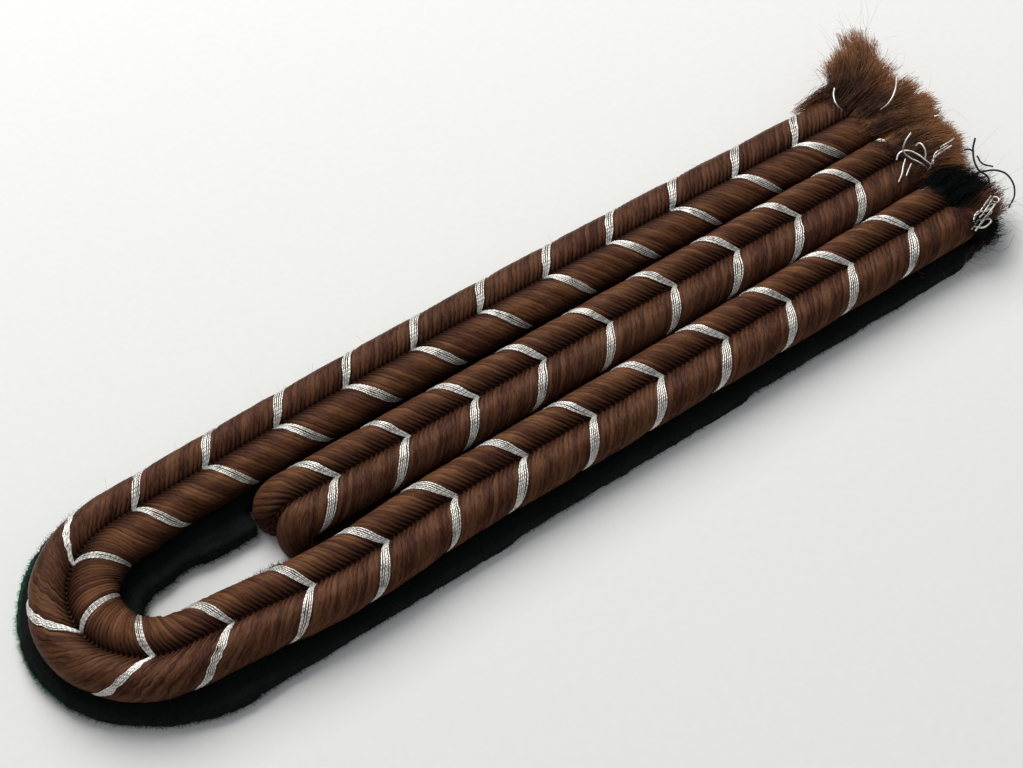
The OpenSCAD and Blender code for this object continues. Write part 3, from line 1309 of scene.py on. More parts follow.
def laid_chevrons(name: str, arms: Sequence[tuple[RibSide, float]], length: float,
                  rng: random.Random, bend: Bend = Bend(0.0, 0.0)) -> bpy.types.Object:
    """Copies the chevron's arms to their places along a straight cord.

    Args:
        name: Name of the piece.
        arms: Each arm's rib and where its point lies along the cord.
        length: Length of the cord.
        rng: Draws how unevenly they lie.
        bend: A bend that will spread the right arms.

    Returns:
        All the chevrons as one piece.
    """
    narrowest, widest, astray = 0.88, 1.06, 0.1 * MM
    models = {side: [Chevron().arm(side, rng) for _ in range(4)] for side in RibSide}
    tight_models = [Chevron(spread=0.7).arm(RibSide.RIGHT, rng) for _ in range(3)]
    copies = []
    for side, place in arms:
        tight = side is RibSide.RIGHT and bend.holds(place)
        copy = duplicate(rng.choice(tight_models if tight else models[side]))
        width = rng.uniform(narrowest, widest)
        with editing(copy):
            bpy.ops.mesh.select_all(action="SELECT")
            bpy.ops.transform.resize(value=(width, 1, 1), center_override=(0, 0, 0))
            bpy.ops.transform.translate(value=(place + rng.uniform(-astray, astray), 0, 0))
        copies.append(copy)
    discard(*(model for row in (*models.values(), tight_models) for model in row))
    piece = join(name, copies)
    uneven(piece, 1.0 * MM, 0.26 * MM, "X")
    uneven(piece, 0.9 * MM, 0.05 * MM, "Z")
    cut_square(piece, length)
    return piece


@dataclass
class OuterCord:
    """The cord that runs up one side of the board, round its end and down the other side."""

    chevron_spacing: float = 9.35 * MM
    first_leg_offset: float = 2.2 * MM
    second_leg_offset: float = 4.5 * MM
    leg_chevrons: int = 11
    round_end_chevrons: int = 3
    seed: int = 3

    @property
    def length(self) -> float:
        """Length of the cord's centre line."""
        return 2 * BOARD.leg_length + BOARD.round_length

    def route(self) -> list[Vector]:
        """Route of the cord's centre line from the first leg's cut end.

        Returns:
            Its points.
        """
        steps = 60
        legs = {side: [Vector((BOARD.round_x + BOARD.leg_length * i / steps,
                               side * (BOARD.lane_pitch + BOARD.bow(i / steps, side)),
                               BOARD.cord_z)) for i in range(steps + 1)] for side in (1, -1)}
        turn = [Vector((BOARD.round_x + BOARD.lane_pitch * math.cos(math.radians(degree)),
                        BOARD.lane_pitch * math.sin(math.radians(degree)), BOARD.cord_z))
                for degree in range(92, 270, 2)]
        return legs[1][::-1] + turn + legs[-1]

    def chevron_places(self) -> list[float]:
        """Places of the chevrons' points along the cord.

        Returns:
            The places, in order.
        """
        start = BOARD.leg_length
        first = [start - self.first_leg_offset - i * self.chevron_spacing
                 for i in range(self.leg_chevrons)]
        second = [start + BOARD.round_length + self.second_leg_offset + i * self.chevron_spacing
                  for i in range(self.leg_chevrons)]
        reach = second[0] - first[0]
        turn = [first[0] + reach * (i + 1) / (self.round_end_chevrons + 1)
                for i in range(self.round_end_chevrons)]
        return sorted(first + turn + second)

    def build(self, silks: dict, silver: bpy.types.Material) -> None:
        """Models both ribs and their chevrons, and dresses them.

        Args:
            silks: The silk of each rib.
            silver: The chevrons' material.
        """
        curve = route_curve(self.route())
        places = self.chevron_places()
        bend = Bend(BOARD.leg_length, BOARD.leg_length + BOARD.round_length)
        for side, name in ((RibSide.RIGHT, "outer_cord_outer_rib"),
                           (RibSide.LEFT, "outer_cord_inner_rib")):
            rib = Rib(side).build(self.length, places, (0.0, self.length), bend)
            modify(rib, "CURVE", object=curve, deform_axis="POS_X")
            rib.name = rib.data.name = name
            finish_piece(rib, silks[side], ["outer_cord"])
        arms = [(side, place) for place in places for side in RibSide]
        bands = laid_chevrons("outer_cord_chevrons", arms, self.length,
                              random.Random(self.seed), bend)
        bend.prepare(bands)
        modify(bands, "CURVE", object=curve, deform_axis="POS_X")
        finish_piece(bands, silver, ["outer_chevrons"])
        discard(curve)


@dataclass
class MiddleCord:
    """The cord between the outer cord's legs, whose end folds down through the slit.

    It is bent lying on its side, with its top towards +Y, and then turned up.
    """

    chevron_spacing: float = 9.35 * MM
    first_chevron: float = 5.6 * MM
    chevrons: int = 10
    set_back: float = 0.6 * MM
    seed: int = 5

    @property
    def fold_length(self) -> float:
        """Length of the fold."""
        return BOARD.fold_radius * BOARD.fold_angle

    @property
    def tail_length(self) -> float:
        """Length of the straight end below the fold.

        Returns:
            The length, down to the height of the sewn end.
        """
        angle = BOARD.fold_angle
        height = BOARD.cord_z - BOARD.fold_radius + BOARD.fold_radius * math.cos(angle)
        return ((height - BOARD.sewn_end_height + BOARD.half_height * math.cos(angle))
                / math.sin(angle))

    @property
    def length(self) -> float:
        """Length of the cord's centre line."""
        return self.tail_length + self.fold_length + BOARD.cut_x - BOARD.fold_x

    def route(self, shift: float) -> list[Vector]:
        """Draws the centre line from its sewn end, with heights along Y.

        Args:
            shift: How far the fold lies from its place, along X.

        Returns:
            The route.
        """
        radius, middle = BOARD.fold_radius, BOARD.cord_z - BOARD.fold_radius
        points = []
        for i in range(51):
            angle = BOARD.fold_angle * (1 - i / 50)
            points.append(Vector((BOARD.fold_x + shift - radius * math.sin(angle),
                                  middle + radius * math.cos(angle), 0)))
        way = Vector((-math.cos(BOARD.fold_angle), -math.sin(BOARD.fold_angle), 0))
        points.insert(0, points[0] + way * self.tail_length)
        points.append(Vector((BOARD.cut_x, BOARD.cord_z, 0)))
        return points

    def stand_up(self, piece: bpy.types.Object, curve: bpy.types.Object) -> None:
        """Bends a straight piece along the route and turns it upright.

        Args:
            piece: The piece.
            curve: The route, lying on its side.
        """
        piece.rotation_euler = (-math.pi / 2, 0, 0)
        settle(piece)
        modify(piece, "CURVE", object=curve, deform_axis="POS_X")
        piece.rotation_euler = (math.pi / 2, 0, 0)
        settle(piece)

    def build(self, silks: dict, silver: bpy.types.Material) -> None:
        """Models both ribs and their chevrons, and dresses them.

        Args:
            silks: The silk of each rib.
            silver: The chevrons' material.
        """
        start = self.tail_length + self.fold_length + self.first_chevron
        places = [start + i * self.chevron_spacing for i in range(self.chevrons)]
        for side, shift, name in ((RibSide.LEFT, 0.0, "middle_cord_left_rib"),
                                  (RibSide.RIGHT, self.set_back, "middle_cord_right_rib")):
            curve = route_curve(self.route(shift))
            length = self.length - shift
            rib = Rib(side).build(length, [place - shift for place in places], (length,))
            self.stand_up(rib, curve)
            discard(curve)
            rib.name = rib.data.name = name
            finish_piece(rib, silks[side], ["middle_cord"])
        arms = [(side, place) for place in places for side in RibSide]
        arms.remove((RibSide.RIGHT, places[-1]))
        bands = laid_chevrons("middle_cord_chevrons", arms, self.length,
                              random.Random(self.seed))
        curve = route_curve(self.route(0.0))
        self.stand_up(bands, curve)
        finish_piece(bands, silver, ["middle_chevrons"])
        discard(curve)


# Strands


@dataclass
class Strand:
    """One thin thread or fibre along a run of points."""

    points: list[Vector]
    radius: float
    tip: float = 0.4


def spin_strands(name: str, strands: Sequence[Strand], sides: int = 3,
                 smooth: bool = False) -> bpy.types.Object:
    """Makes many thin strands as one mesh.

    Args:
        name: Name of the piece.
        strands: The strands, each with its own radius.
        sides: Sides of a strand's section.
        smooth: Whether a strand runs in one smooth curve through its points.

    Returns:
        The piece.
    """
    bpy.ops.curve.primitive_bezier_circle_add(radius=1.0)
    section = bpy.context.object
    section.data.splines.clear()
    ring = section.data.splines.new("POLY")
    ring.points.add(sides - 1)
    for i, point in enumerate(ring.points):
        point.co = (math.cos(2 * math.pi * i / sides), math.sin(2 * math.pi * i / sides), 0, 1)
    ring.use_cyclic_u = True
    data = bpy.data.curves.new(name, "CURVE")
    data.dimensions = "3D"
    data.bevel_mode = "OBJECT"
    data.bevel_object = section
    data.use_fill_caps = True
    data.resolution_u = 6
    for strand in strands:
        spline = data.splines.new("BEZIER" if smooth else "POLY")
        places = spline.bezier_points if smooth else spline.points
        places.add(len(strand.points) - 1)
        for i, (place, point) in enumerate(zip(places, strand.points)):
            share = i / (len(strand.points) - 1)
            place.co = point if smooth else (*point, 1)
            place.radius = strand.radius * (1 - (1 - strand.tip) * share ** 2)
            if smooth:
                place.handle_left_type = place.handle_right_type = "AUTO"
    piece = bpy.data.objects.new(name, data)
    bpy.context.collection.objects.link(piece)
    pick(piece)
    bpy.ops.object.convert(target="MESH")
    piece = bpy.context.object
    discard(section)
    piece.name = piece.data.name = name
    piece.data.uv_layers[0].name = "Strand"
    return piece


def wander(rng: random.Random, size: float) -> Vector:
    """Draws a random offset of up to about a size each way."""
    return Vector((rng.gauss(0, 0.5), rng.gauss(0, 0.5), rng.gauss(0, 0.5))) * size


# Felt


class FeltPlace(Enum):
    """Places on the felt, each with the density of its loose fibres and how much longer they are.

    The lengths are in millimetres.
    """

    FLAT = ("flat face", 1.0, 0.0)
    EDGE = ("cut edge", 1.0, 0.0)
    ROUND_END = ("round end's outer edge", 3.2, 0.14)
    SLIT = ("slit's ragged edge", 2.2, 0.30)

    @property
    def density(self) -> float:
        """How many more fibres it has than a plain edge."""
        return self.value[1]

    @property
    def longer(self) -> float:
        """How much longer its fibres are."""
        return self.value[2]

    @classmethod
    def of(cls, face: bpy.types.MeshPolygon) -> "FeltPlace":
        """Says where on the felt a face lies.

        Args:
            face: A face of the felt.

        Returns:
            Its place.
        """
        place, reach = face.center, 4 * MM
        if abs(face.normal.z) >= 0.75:
            return cls.FLAT
        if BOARD.round_x - reach < place.x < BOARD.fold_x and abs(place.y) < BOARD.lane_pitch:
            return cls.SLIT
        if (place.x < BOARD.round_x + reach
                and BOARD.from_round_centre(place) > BOARD.lane_pitch):
            return cls.ROUND_END
        return cls.EDGE


@dataclass
class Backing:
    """The felt, with a fuzzy cut edge."""

    voxel: float = 0.55 * MM
    flat_size: tuple = (125 * MM, 32.9 * MM)
    flat_area: float = 0.003681
    rim_fibres: int = 8400
    margin_fibres: int = 2600
    fibre_radius: float = 0.02 * MM
    fibre_steps: int = 2
    fibre_curl: float = 1.3
    lowest: float = 0.03 * MM
    # Shortest fibre, and the longest on the cut edges and on the bare margins
    shortest: float = 0.25 * MM
    longest: tuple = (0.62 * MM, 0.5 * MM)
    # Where the worn corner starts across the felt, and its reaches from the seam end
    worn_corner: float = 13.0 * MM
    corner_reaches: tuple = (7.0, 5.2, 3.6, 2.0, 0.8)
    # Reaches past the round end's centre at which the felt lies further back
    round_reaches: tuple = (-4, -1, 2, 5, 8)
    seed: int = 11

    def felt(self) -> bpy.types.Object:
        """Models the felt from a copy of the CAD node.

        Returns:
            The felt, with its worn corner and uneven faces.
        """
        piece = duplicate(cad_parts["backing"])
        for key in list(piece.keys()):
            del piece[key]
        piece.parent = None
        piece.name = piece.data.name = "felt_backing"
        with editing(piece):
            bpy.ops.mesh.select_all(action="SELECT")
            bpy.ops.mesh.remove_doubles(threshold=0.001 * MM)
        modify(piece, "REMESH", mode="VOXEL", voxel_size=self.voxel)
        modify(piece, "SMOOTH", factor=0.5, iterations=2)
        with editing(piece):
            for reach in self.corner_reaches:
                choose(piece, lambda place: place.y < -self.worn_corner
                       and place.x > BOARD.seam_x - reach * MM)
                bpy.ops.transform.translate(value=(0, 0.3 * MM, 0))
            for reach in self.round_reaches:
                choose(piece, lambda place: place.x < BOARD.round_x - reach * MM
                       and BOARD.from_round_centre(place) > BOARD.lane_pitch)
                bpy.ops.transform.translate(value=(-0.03 * MM, 0.12 * MM, 0))
        uneven(piece, 3.5 * MM, 0.35 * MM)
        uneven(piece, 0.7 * MM, 0.25 * MM)
        return piece

    def fibre(self, rng: random.Random, root: Vector, way: Vector, length: float) -> Strand:
        """Draws one curled fibre.

        Args:
            rng: Source of the curl.
            root: Where it leaves the felt.
            way: Its main direction.
            length: Its length.

        Returns:
            The fibre.
        """
        points, place, heading = [root], root.copy(), way.normalized()
        for _ in range(self.fibre_steps):
            heading = (heading + wander(rng, self.fibre_curl)).normalized()
            place = place + heading * length / self.fibre_steps
            place.z = max(place.z, self.lowest)
            points.append(place.copy())
        return Strand(points, self.fibre_radius)

    def fuzz(self, felt: bpy.types.Object) -> bpy.types.Object:
        """Models the loose fibres on the felt's cut edges and on its bare margins.

        Args:
            felt: The finished felt.

        Returns:
            The fibres as one piece.
        """
        rng = random.Random(self.seed)
        faces = felt.data.polygons
        edges = [face for face in faces if FeltPlace.of(face) is not FeltPlace.FLAT]
        margins = [face for face in faces if face.normal.z > 0.75 and BOARD.bare(face.center)]
        fibres = []
        for group, count, longest in zip((edges, margins), (self.rim_fibres, self.margin_fibres),
                                         self.longest):
            kinds = [FeltPlace.of(face) for face in group]
            weights = [face.area * kind.density for face, kind in zip(group, kinds)]
            for i in rng.choices(range(len(group)), weights, k=count):
                face = group[i]
                root = face.center - face.normal * 0.05 * MM
                way = face.normal + Vector((0, 0, 0.25)) + wander(rng, 0.9)
                length = rng.uniform(self.shortest, longest) + kinds[i].longer * MM
                fibres.append(self.fibre(rng, root, way, length))
        return spin_strands("felt_fuzz", fibres)

    def build(self, wool: bpy.types.Material, loose: bpy.types.Material) -> None:
        """Models the felt and its fuzz, and dresses them.

        Args:
            wool: The felt's material.
            loose: The fuzz's material.
        """
        felt = finish_piece(self.felt(), wool, ["backing"])
        fuzz = finish_piece(self.fuzz(felt), loose, [])


# Frayed ends


@dataclass(frozen=True)
class Lock:
    """One lock of a frayed end, with its sizes in millimetres and its heading in degrees."""

    across: float
    heading: float
    length: float
    rise: float
    strands: int
    clumps: int = 9


@dataclass
class Tuft:
    """The loose filaments at a cord's cut end. Lengths are in millimetres here."""

    name: str
    slot: str
    replaced: str
    side_y: float
    locks: tuple[Lock, ...]
    seed: int
    head_width: float = 2.7
    head_height: float = 3.1
    ribs: tuple[float, ...] = (2.4, -2.4)
    combed: int = 300
    radius: float = 0.026
    tip: float = 0.75
    curl: float = 0.42
    blunt: float = 0.15
    start: float = 0.6
    # How filaments scatter in a clump, sideways and by degrees
    scatter: float = 0.30
    sway: float = 3
    # Share of its heading that a filament has at its root
    turned: float = 0.45
    # How much a lock bulges halfway and narrows to its tip
    bulge: float = 0.5
    narrowing: float = 0.35
    lowest: float = 0.3

    def filament(self, rng: random.Random, lock: Lock, clump: tuple) -> Strand:
        """Draws one filament of a lock.

        Args:
            rng: Source of its place and curl.
            lock: The lock that it belongs to.
            clump: Its clump's place across and up, turn and length.

        Returns:
            The filament.
        """
        clump_side, clump_up, clump_turn, clump_length = clump
        side, up = (middle + rng.gauss(0, self.scatter) for middle in (clump_side, clump_up))
        heading = math.radians(lock.heading + clump_turn + rng.gauss(0, self.sway))
        length = lock.length * clump_length * (1 - self.blunt * rng.random() ** 2)
        origin = Vector((BOARD.cut_x / MM - rng.uniform(0.0, self.start),
                         self.side_y + lock.across, BOARD.cord_z / MM))
        swing = Vector((0, 0, 0))
        points = []
        for i in range(4):
            share = i / 3
            turn = heading * (self.turned + (1 - self.turned) * share)
            spread = 1 + self.bulge * math.sin(math.pi * share) - self.narrowing * share
            place = origin + Vector((
                length * share * math.cos(turn),
                side * spread * self.head_width / 2 + length * share * math.sin(turn),
                up * spread * self.head_height / 2 + lock.rise * share))
            swing += wander(rng, self.curl) * (0.3 + share)
            place += swing
            place.z = max(place.z, self.lowest)
            points.append(place * MM)
        return Strand(points, self.radius * MM * rng.uniform(0.8, 1.25), self.tip)

    def loosened(self, rng: random.Random, rib: float) -> Strand:
        """Draws one thread's filament that is combed loose from the end of a rib.

        Args:
            rng: Source of its place and curl.
            rib: The rib's place across the cord.

        Returns:
            The filament, from the rib's surface into the nearest lock.
        """
        angle = rng.uniform(0.1, math.pi - 0.1)
        lock = min(self.locks, key=lambda lock: abs(lock.across - rib - 2 * math.cos(angle)))
        heading = math.radians(lock.heading * 0.7 + rng.gauss(0, 7))
        rise = rng.uniform(0.4, 2.0)
        cut = BOARD.cut_x / MM
        points = []
        for along, size in ((cut - rise, 1.0), (cut - 0.3 * rise, 0.95), (cut + 0.5, 0.82)):
            points.append(Vector((
                along, self.side_y + rib + size * BOARD.rib_width / 2 / MM * math.cos(angle),
                (BOARD.cord_z + size * BOARD.half_height * math.sin(angle)) / MM)))
        reach = lock.length * rng.uniform(0.3, 0.8)
        points.append(points[-1] + Vector((reach * math.cos(heading), reach * math.sin(heading),
                                           -0.3 * math.sin(angle))) + wander(rng, 0.4))
        return Strand([point * MM for point in points], self.radius * MM, self.tip)

    def build(self, material: bpy.types.Material) -> None:
        """Models all the locks' filaments as one piece and dresses it.

        Args:
            material: Their material.
        """
        rng = random.Random(self.seed)
        strands = [self.loosened(rng, rib) for rib in self.ribs for _ in range(self.combed)]
        for lock in self.locks:
            for _ in range(lock.clumps):
                angle, size = rng.uniform(0, 2 * math.pi), math.sqrt(rng.random()) * 0.85
                clump = (size * math.cos(angle), size * math.sin(angle), rng.gauss(0, 4),
                         rng.uniform(0.93, 1.04) * (1 - 0.08 * size ** 2))
                strands += [self.filament(rng, lock, clump)
                            for _ in range(lock.strands // lock.clumps)]
        finish_piece(spin_strands(self.name, strands), material, [self.replaced])


FIRST_LEG_LOCKS = (
    Lock(3.2, 48, 8.2, 0.2, 480, 7),
    Lock(2.9, 44, 10.2, 0.6, 800, 7),
    Lock(2.6, 38.5, 14.0, 0.9, 700, 4),
    Lock(2.2, 32, 11.2, 0.8, 820),
    Lock(1.4, 21, 10.5, 0.6, 800),
    Lock(0.4, 10, 9.5, 0.5, 760),
    Lock(-1.0, 5, 10.6, 0.4, 760),
    Lock(-2.4, -3, 11.0, 0.2, 760),
    Lock(-3.7, -10, 10.2, 0.1, 680),
)
MIDDLE_LOCKS = (
    Lock(3.4, 5, 9.5, -0.3, 740),
    Lock(2.2, -2, 9.7, -0.1, 820),
    Lock(0.9, -7, 9.3, 0.2, 820),
    Lock(-0.4, -13, 8.6, 0.3, 760),
    Lock(-1.6, -20, 7.6, 0.2, 640),
    Lock(-2.6, -25, 6.4, 0.4, 480),
)
SECOND_LEG_LOCKS = (
    Lock(-2.0, 13, 7.4, -0.9, 300, 5),
    Lock(-2.8, 10, 6.9, -1.3, 280, 5),
)
WOOL_LOCKS = (
    Lock(3.6, 4, 4.6, 0.2, 340),
    Lock(2.6, 2, 5.9, 0.3, 400),
    Lock(1.2, 0, 6.6, 0.2, 400),
    Lock(-0.3, -1, 6.2, -0.3, 380),
    Lock(-1.6, -2, 5.2, -0.8, 320),
    Lock(-3.0, -3, 4.6, -1.4, 300),
    Lock(-4.0, -6, 3.8, -1.8, 240),
)


# Loose threads

# Points in millimetres: along the board, across it, up
SILVER_RUNS = (
    ((58.1, 13.4, 6.6), (57.1, 12.3, 6.6), (56.6, 11.0, 6.4), (57.1, 10.5, 5.6)),
    ((65.6, 10.2, 6.6), (63.5, 8.1, 7.0), (61.8, 7.2, 6.6), (60.8, 7.5, 5.8)),
    ((59.2, 0.1, 8.5), (57.7, -0.5, 8.0), (57.5, -0.7, 7.0), (57.8, -1.4, 6.4),
     (58.4, -3.0, 6.2), (59.0, -3.6, 5.4)),
    ((56.4, -0.8, 6.2), (57.1, -0.4, 6.6), (58.0, -0.7, 6.8), (58.6, -1.8, 6.8),
     (58.9, -3.2, 6.6), (59.1, -4.0, 6.2), (58.8, -3.9, 5.4)),
    ((59.3, -0.9, 7.0), (59.6, -1.1, 7.4), (59.6, -2.0, 7.4), (59.4, -2.6, 7.0),
     (59.0, -3.0, 6.4)),
    ((57.1, -1.6, 6.6), (56.4, -2.1, 6.3), (55.5, -2.9, 6.0), (54.6, -3.4, 5.6)),
    ((57.3, -2.5, 6.4), (56.7, -2.8, 6.1), (55.9, -3.3, 5.8)),
    ((59.4, -3.7, 5.8), (60.3, -3.3, 6.2), (61.6, -3.2, 6.4), (63.2, -3.1, 6.4)),
    ((59.6, -3.9, 5.9), (60.6, -3.0, 6.4), (61.8, -2.9, 6.5), (63.0, -2.7, 6.3)),
    ((61.9, -2.5, 6.4), (63.2, -2.5, 6.5), (64.4, -2.2, 6.2)),
    ((65.0, 2.2, 6.2), (65.4, 1.8, 6.4), (65.9, 1.3, 6.2)),
    ((56.2, -13.9, 4.0), (57.0, -13.6, 4.4), (57.1, -12.9, 4.6), (57.5, -13.1, 4.8),
     (57.3, -13.8, 4.6), (56.7, -13.9, 4.4)),
    ((57.1, -14.0, 4.8), (57.9, -12.7, 4.8), (58.4, -12.2, 4.8), (59.3, -11.8, 4.6),
     (59.9, -11.6, 4.4), (59.3, -11.3, 4.4)),
    ((57.5, -14.0, 4.9), (58.1, -14.7, 4.9), (59.0, -14.8, 5.0), (59.6, -14.5, 5.1),
     (59.2, -14.0, 5.1), (58.5, -13.8, 5.2), (59.1, -13.4, 5.3), (59.7, -13.5, 5.1),
     (59.7, -13.9, 5.1), (58.8, -14.0, 5.2)),
    ((57.7, -13.6, 5.2), (58.5, -12.9, 5.3), (59.2, -12.8, 5.4), (59.8, -13.3, 5.4),
     (60.6, -13.2, 5.2), (60.5, -13.6, 5.2), (59.6, -13.8, 5.3), (58.4, -14.1, 5.2)),
    ((59.0, -12.6, 5.0), (59.8, -12.6, 5.1), (60.7, -12.6, 5.1), (61.6, -12.8, 5.1),
     (61.3, -13.0, 5.1), (60.6, -12.9, 5.1), (60.0, -12.7, 5.1)),
    ((60.1, -12.5, 5.1), (61.2, -12.2, 5.2), (61.9, -12.0, 5.2), (62.4, -12.1, 5.3),
     (62.5, -12.6, 5.3), (62.0, -12.9, 5.3), (61.7, -12.5, 5.3)),
    ((57.0, -14.0, 4.7), (58.6, -13.6, 5.2), (60.2, -13.0, 5.4), (61.8, -12.2, 5.3)),
    ((57.3, -14.4, 4.6), (59.0, -14.0, 5.2), (60.6, -13.4, 5.3), (62.0, -12.8, 5.2)),
    ((57.8, -13.2, 5.0), (59.4, -12.8, 5.3), (60.9, -12.2, 5.4), (62.2, -11.6, 5.2)),
)
DARK_RUNS = (
    ((65.5, -4.6, 7.5), (64.6, -5.4, 6.5), (64.1, -7.1, 5.0), (64.7, -8.4, 4.2),
     (64.5, -9.0, 3.6)),
    ((63.9, -4.6, 6.4), (64.3, -5.0, 6.6), (64.6, -5.4, 6.4)),
    ((64.6, -6.2, 6.2), (64.4, -7.4, 6.0), (65.1, -8.6, 6.0)),
    ((63.5, -7.3, 4.6), (64.5, -7.9, 5.0), (65.9, -8.9, 5.0), (66.5, -10.1, 4.6),
     (66.0, -11.9, 3.4), (64.7, -12.5, 2.2)),
    ((63.5, -7.3, 4.8), (62.5, -8.8, 4.6), (61.0, -10.9, 4.4), (60.3, -11.7, 4.0)),
)


@dataclass
class LooseThreads:
    """Silver wires and sewing threads that came loose at the seam end."""

    silver_radius: float = 0.11 * MM
    sewing_radius: float = 0.13 * MM

    def build(self, silver: bpy.types.Material, cotton: bpy.types.Material) -> None:
        """Models the loose threads and dresses them.

        Args:
            silver: The wires' material.
            cotton: The sewing threads' material.
        """
        for name, runs, radius, tip, material, slot in (
            ("loose_silver_wires", SILVER_RUNS, self.silver_radius, 0.85, silver,
             "silver_thread"),
            ("loose_sewing_threads", DARK_RUNS, self.sewing_radius, 0.8, cotton, "core_wool"),
        ):
            strands = [Strand([Vector(point) * MM for point in run], radius, tip)
                       for run in runs]
            finish_piece(spin_strands(name, strands, 6, True), material, [])


# Points in millimetres on the frayed ends' outline, and where stray hairs point there
OUTLINE = (
    ((63.5, 18.5, 4.2), (-0.5, 1.0, 0.3)), ((64.3, 20.5, 4.0), (0.1, 1.0, 0.2)),
    ((69.0, 21.0, 4.2), (0.6, 0.8, 0.1)), ((69.0, 16.0, 3.8), (1.0, 0.4, 0.1)),
    ((68.0, 12.9, 3.8), (1.0, 0.2, 0.2)), ((68.2, 9.0, 3.8), (1.0, 0.1, 0.2)),
    ((68.4, 5.4, 3.8), (1.0, -0.1, 0.1)), ((67.6, 2.5, 3.8), (1.0, -0.1, 0.2)),
    ((65.5, -3.0, 3.6), (1.0, -0.4, 0.2)), ((64.0, -6.5, 3.4), (1.0, -0.3, 0.2)),
    ((64.5, -10.5, 3.0), (1.0, 0.1, 0.2)), ((64.0, -12.5, 2.6), (1.0, -0.4, 0.0)),
)


@dataclass
class StrayFibres:
    """Hairs that stand off the board, and the lock that lies back along the first leg."""

    wisp: tuple = ((61.6, 14.2, 4.8), (59.2, 14.3, 5.1), (57.4, 14.3, 5.1), (55.8, 14.4, 5.0),
                   (54.2, 14.5, 4.9), (52.4, 14.7, 4.6))
    wisp_strands: int = 620
    wisp_half: float = 1.1
    frizz: int = 60
    round_tufts: int = 150
    far_edge: int = 70
    seam_corner: int = 30
    wisp_radius: float = 0.026
    radius: float = 0.009
    steps: int = 6
    lowest: float = 0.06
    seed: int = 31

    def wisp_strand(self, rng: random.Random) -> Strand:
        """Draws one filament of the lock that lies back along the first leg.

        Args:
            rng: Source of its place.

        Returns:
            The filament.
        """
        side, up = rng.gauss(0, 0.5), rng.gauss(0, 0.5)
        start = rng.uniform(0.0, 0.55)
        end = start + rng.uniform(0.25, 0.5)
        points = []
        for i in range(4):
            share = min(1.0, start + (end - start) * i / 3) * (len(self.wisp) - 1)
            first = min(int(share), len(self.wisp) - 2)
            centre = Vector(self.wisp[first]).lerp(Vector(self.wisp[first + 1]), share - first)
            half = self.wisp_half * (1 - 0.6 * share / (len(self.wisp) - 1))
            points.append((centre + Vector((0, side, up)) * half + wander(rng, 0.3)) * MM)
        return Strand(points, self.wisp_radius * MM, 0.6)

    def hair(self, rng: random.Random, root: Vector, way: Vector, length: float) -> Strand:
        """Draws one curled hair.

        Args:
            rng: Source of its curl.
            root: Where it starts, in millimetres.
            way: Its main direction.
            length: Its length in millimetres.

        Returns:
            The hair.
        """
        heading, bend, place = way.normalized(), wander(rng, 0.8), root.copy()
        points = [root * MM]
        for _ in range(self.steps):
            heading = (heading + bend + wander(rng, 0.25)).normalized()
            place += heading * length / self.steps
            place.z = max(place.z, self.lowest)
            points.append(place * MM)
        return Strand(points, self.radius * MM, 0.8)

    def tuft_hair(self, rng: random.Random) -> Strand:
        """Draws a hair that stands off the frayed ends.

        Args:
            rng: Source of its place and curl.

        Returns:
            The hair.
        """
        root, way = (Vector(part) for part in rng.choice(OUTLINE))
        return self.hair(rng, root - 2 * way + wander(rng, 2.0), way + wander(rng, 0.9),
                         rng.uniform(2.5, 7.0))

    def frizzy_hair(self, rng: random.Random) -> Strand:
        """Draws a hair of the frizz beside the first leg's tuft."""
        return self.hair(rng, Vector((61.8, 16.6, 4.3)) + wander(rng, 0.9),
                         Vector((-0.5, 1.0, 0.3)) + wander(rng, 0.9), rng.uniform(2.0, 4.5))

    def far_hair(self, rng: random.Random) -> Strand:
        """Draws a hair that stands off the first leg's far edge.

        Args:
            rng: Source of its place and curl.

        Returns:
            The hair.
        """
        share = rng.random()
        far = BOARD.lane_pitch + BOARD.bow(share, 1) + 0.88 * BOARD.rib_width
        root = Vector((BOARD.round_x + share * BOARD.leg_length, far, BOARD.cord_z)) / MM
        return self.hair(rng, root, Vector((0, 1, 0.5)) + wander(rng, 1.0),
                         rng.uniform(0.8, 2.4))

    def corner_hair(self, rng: random.Random) -> Strand:
        """Draws a hair that stands off the felt's corner at the seam.

        Args:
            rng: Source of its place and curl.

        Returns:
            The hair.
        """
        root = Vector((rng.uniform(50, 60), -14.8, rng.uniform(0.8, 2.5)))
        return self.hair(rng, root, Vector((0.3, -1, 0.1)) + wander(rng, 0.9),
                         rng.uniform(1.5, 4.5))

    def build(self, silk: bpy.types.Material) -> None:
        """Models the wisp and the hairs, and dresses them.

        Args:
            silk: Their material.
        """
        rng = random.Random(self.seed)
        strands = [self.wisp_strand(rng) for _ in range(self.wisp_strands)]
        finish_piece(spin_strands("first_leg_wisp", strands), silk, [])
        hairs = [draw(rng) for draw, count in (
            (self.tuft_hair, self.round_tufts), (self.frizzy_hair, self.frizz),
            (self.far_hair, self.far_edge), (self.corner_hair, self.seam_corner),
        ) for _ in range(count)]
        finish_piece(spin_strands("stray_hairs", hairs), silk, [])


# Studio


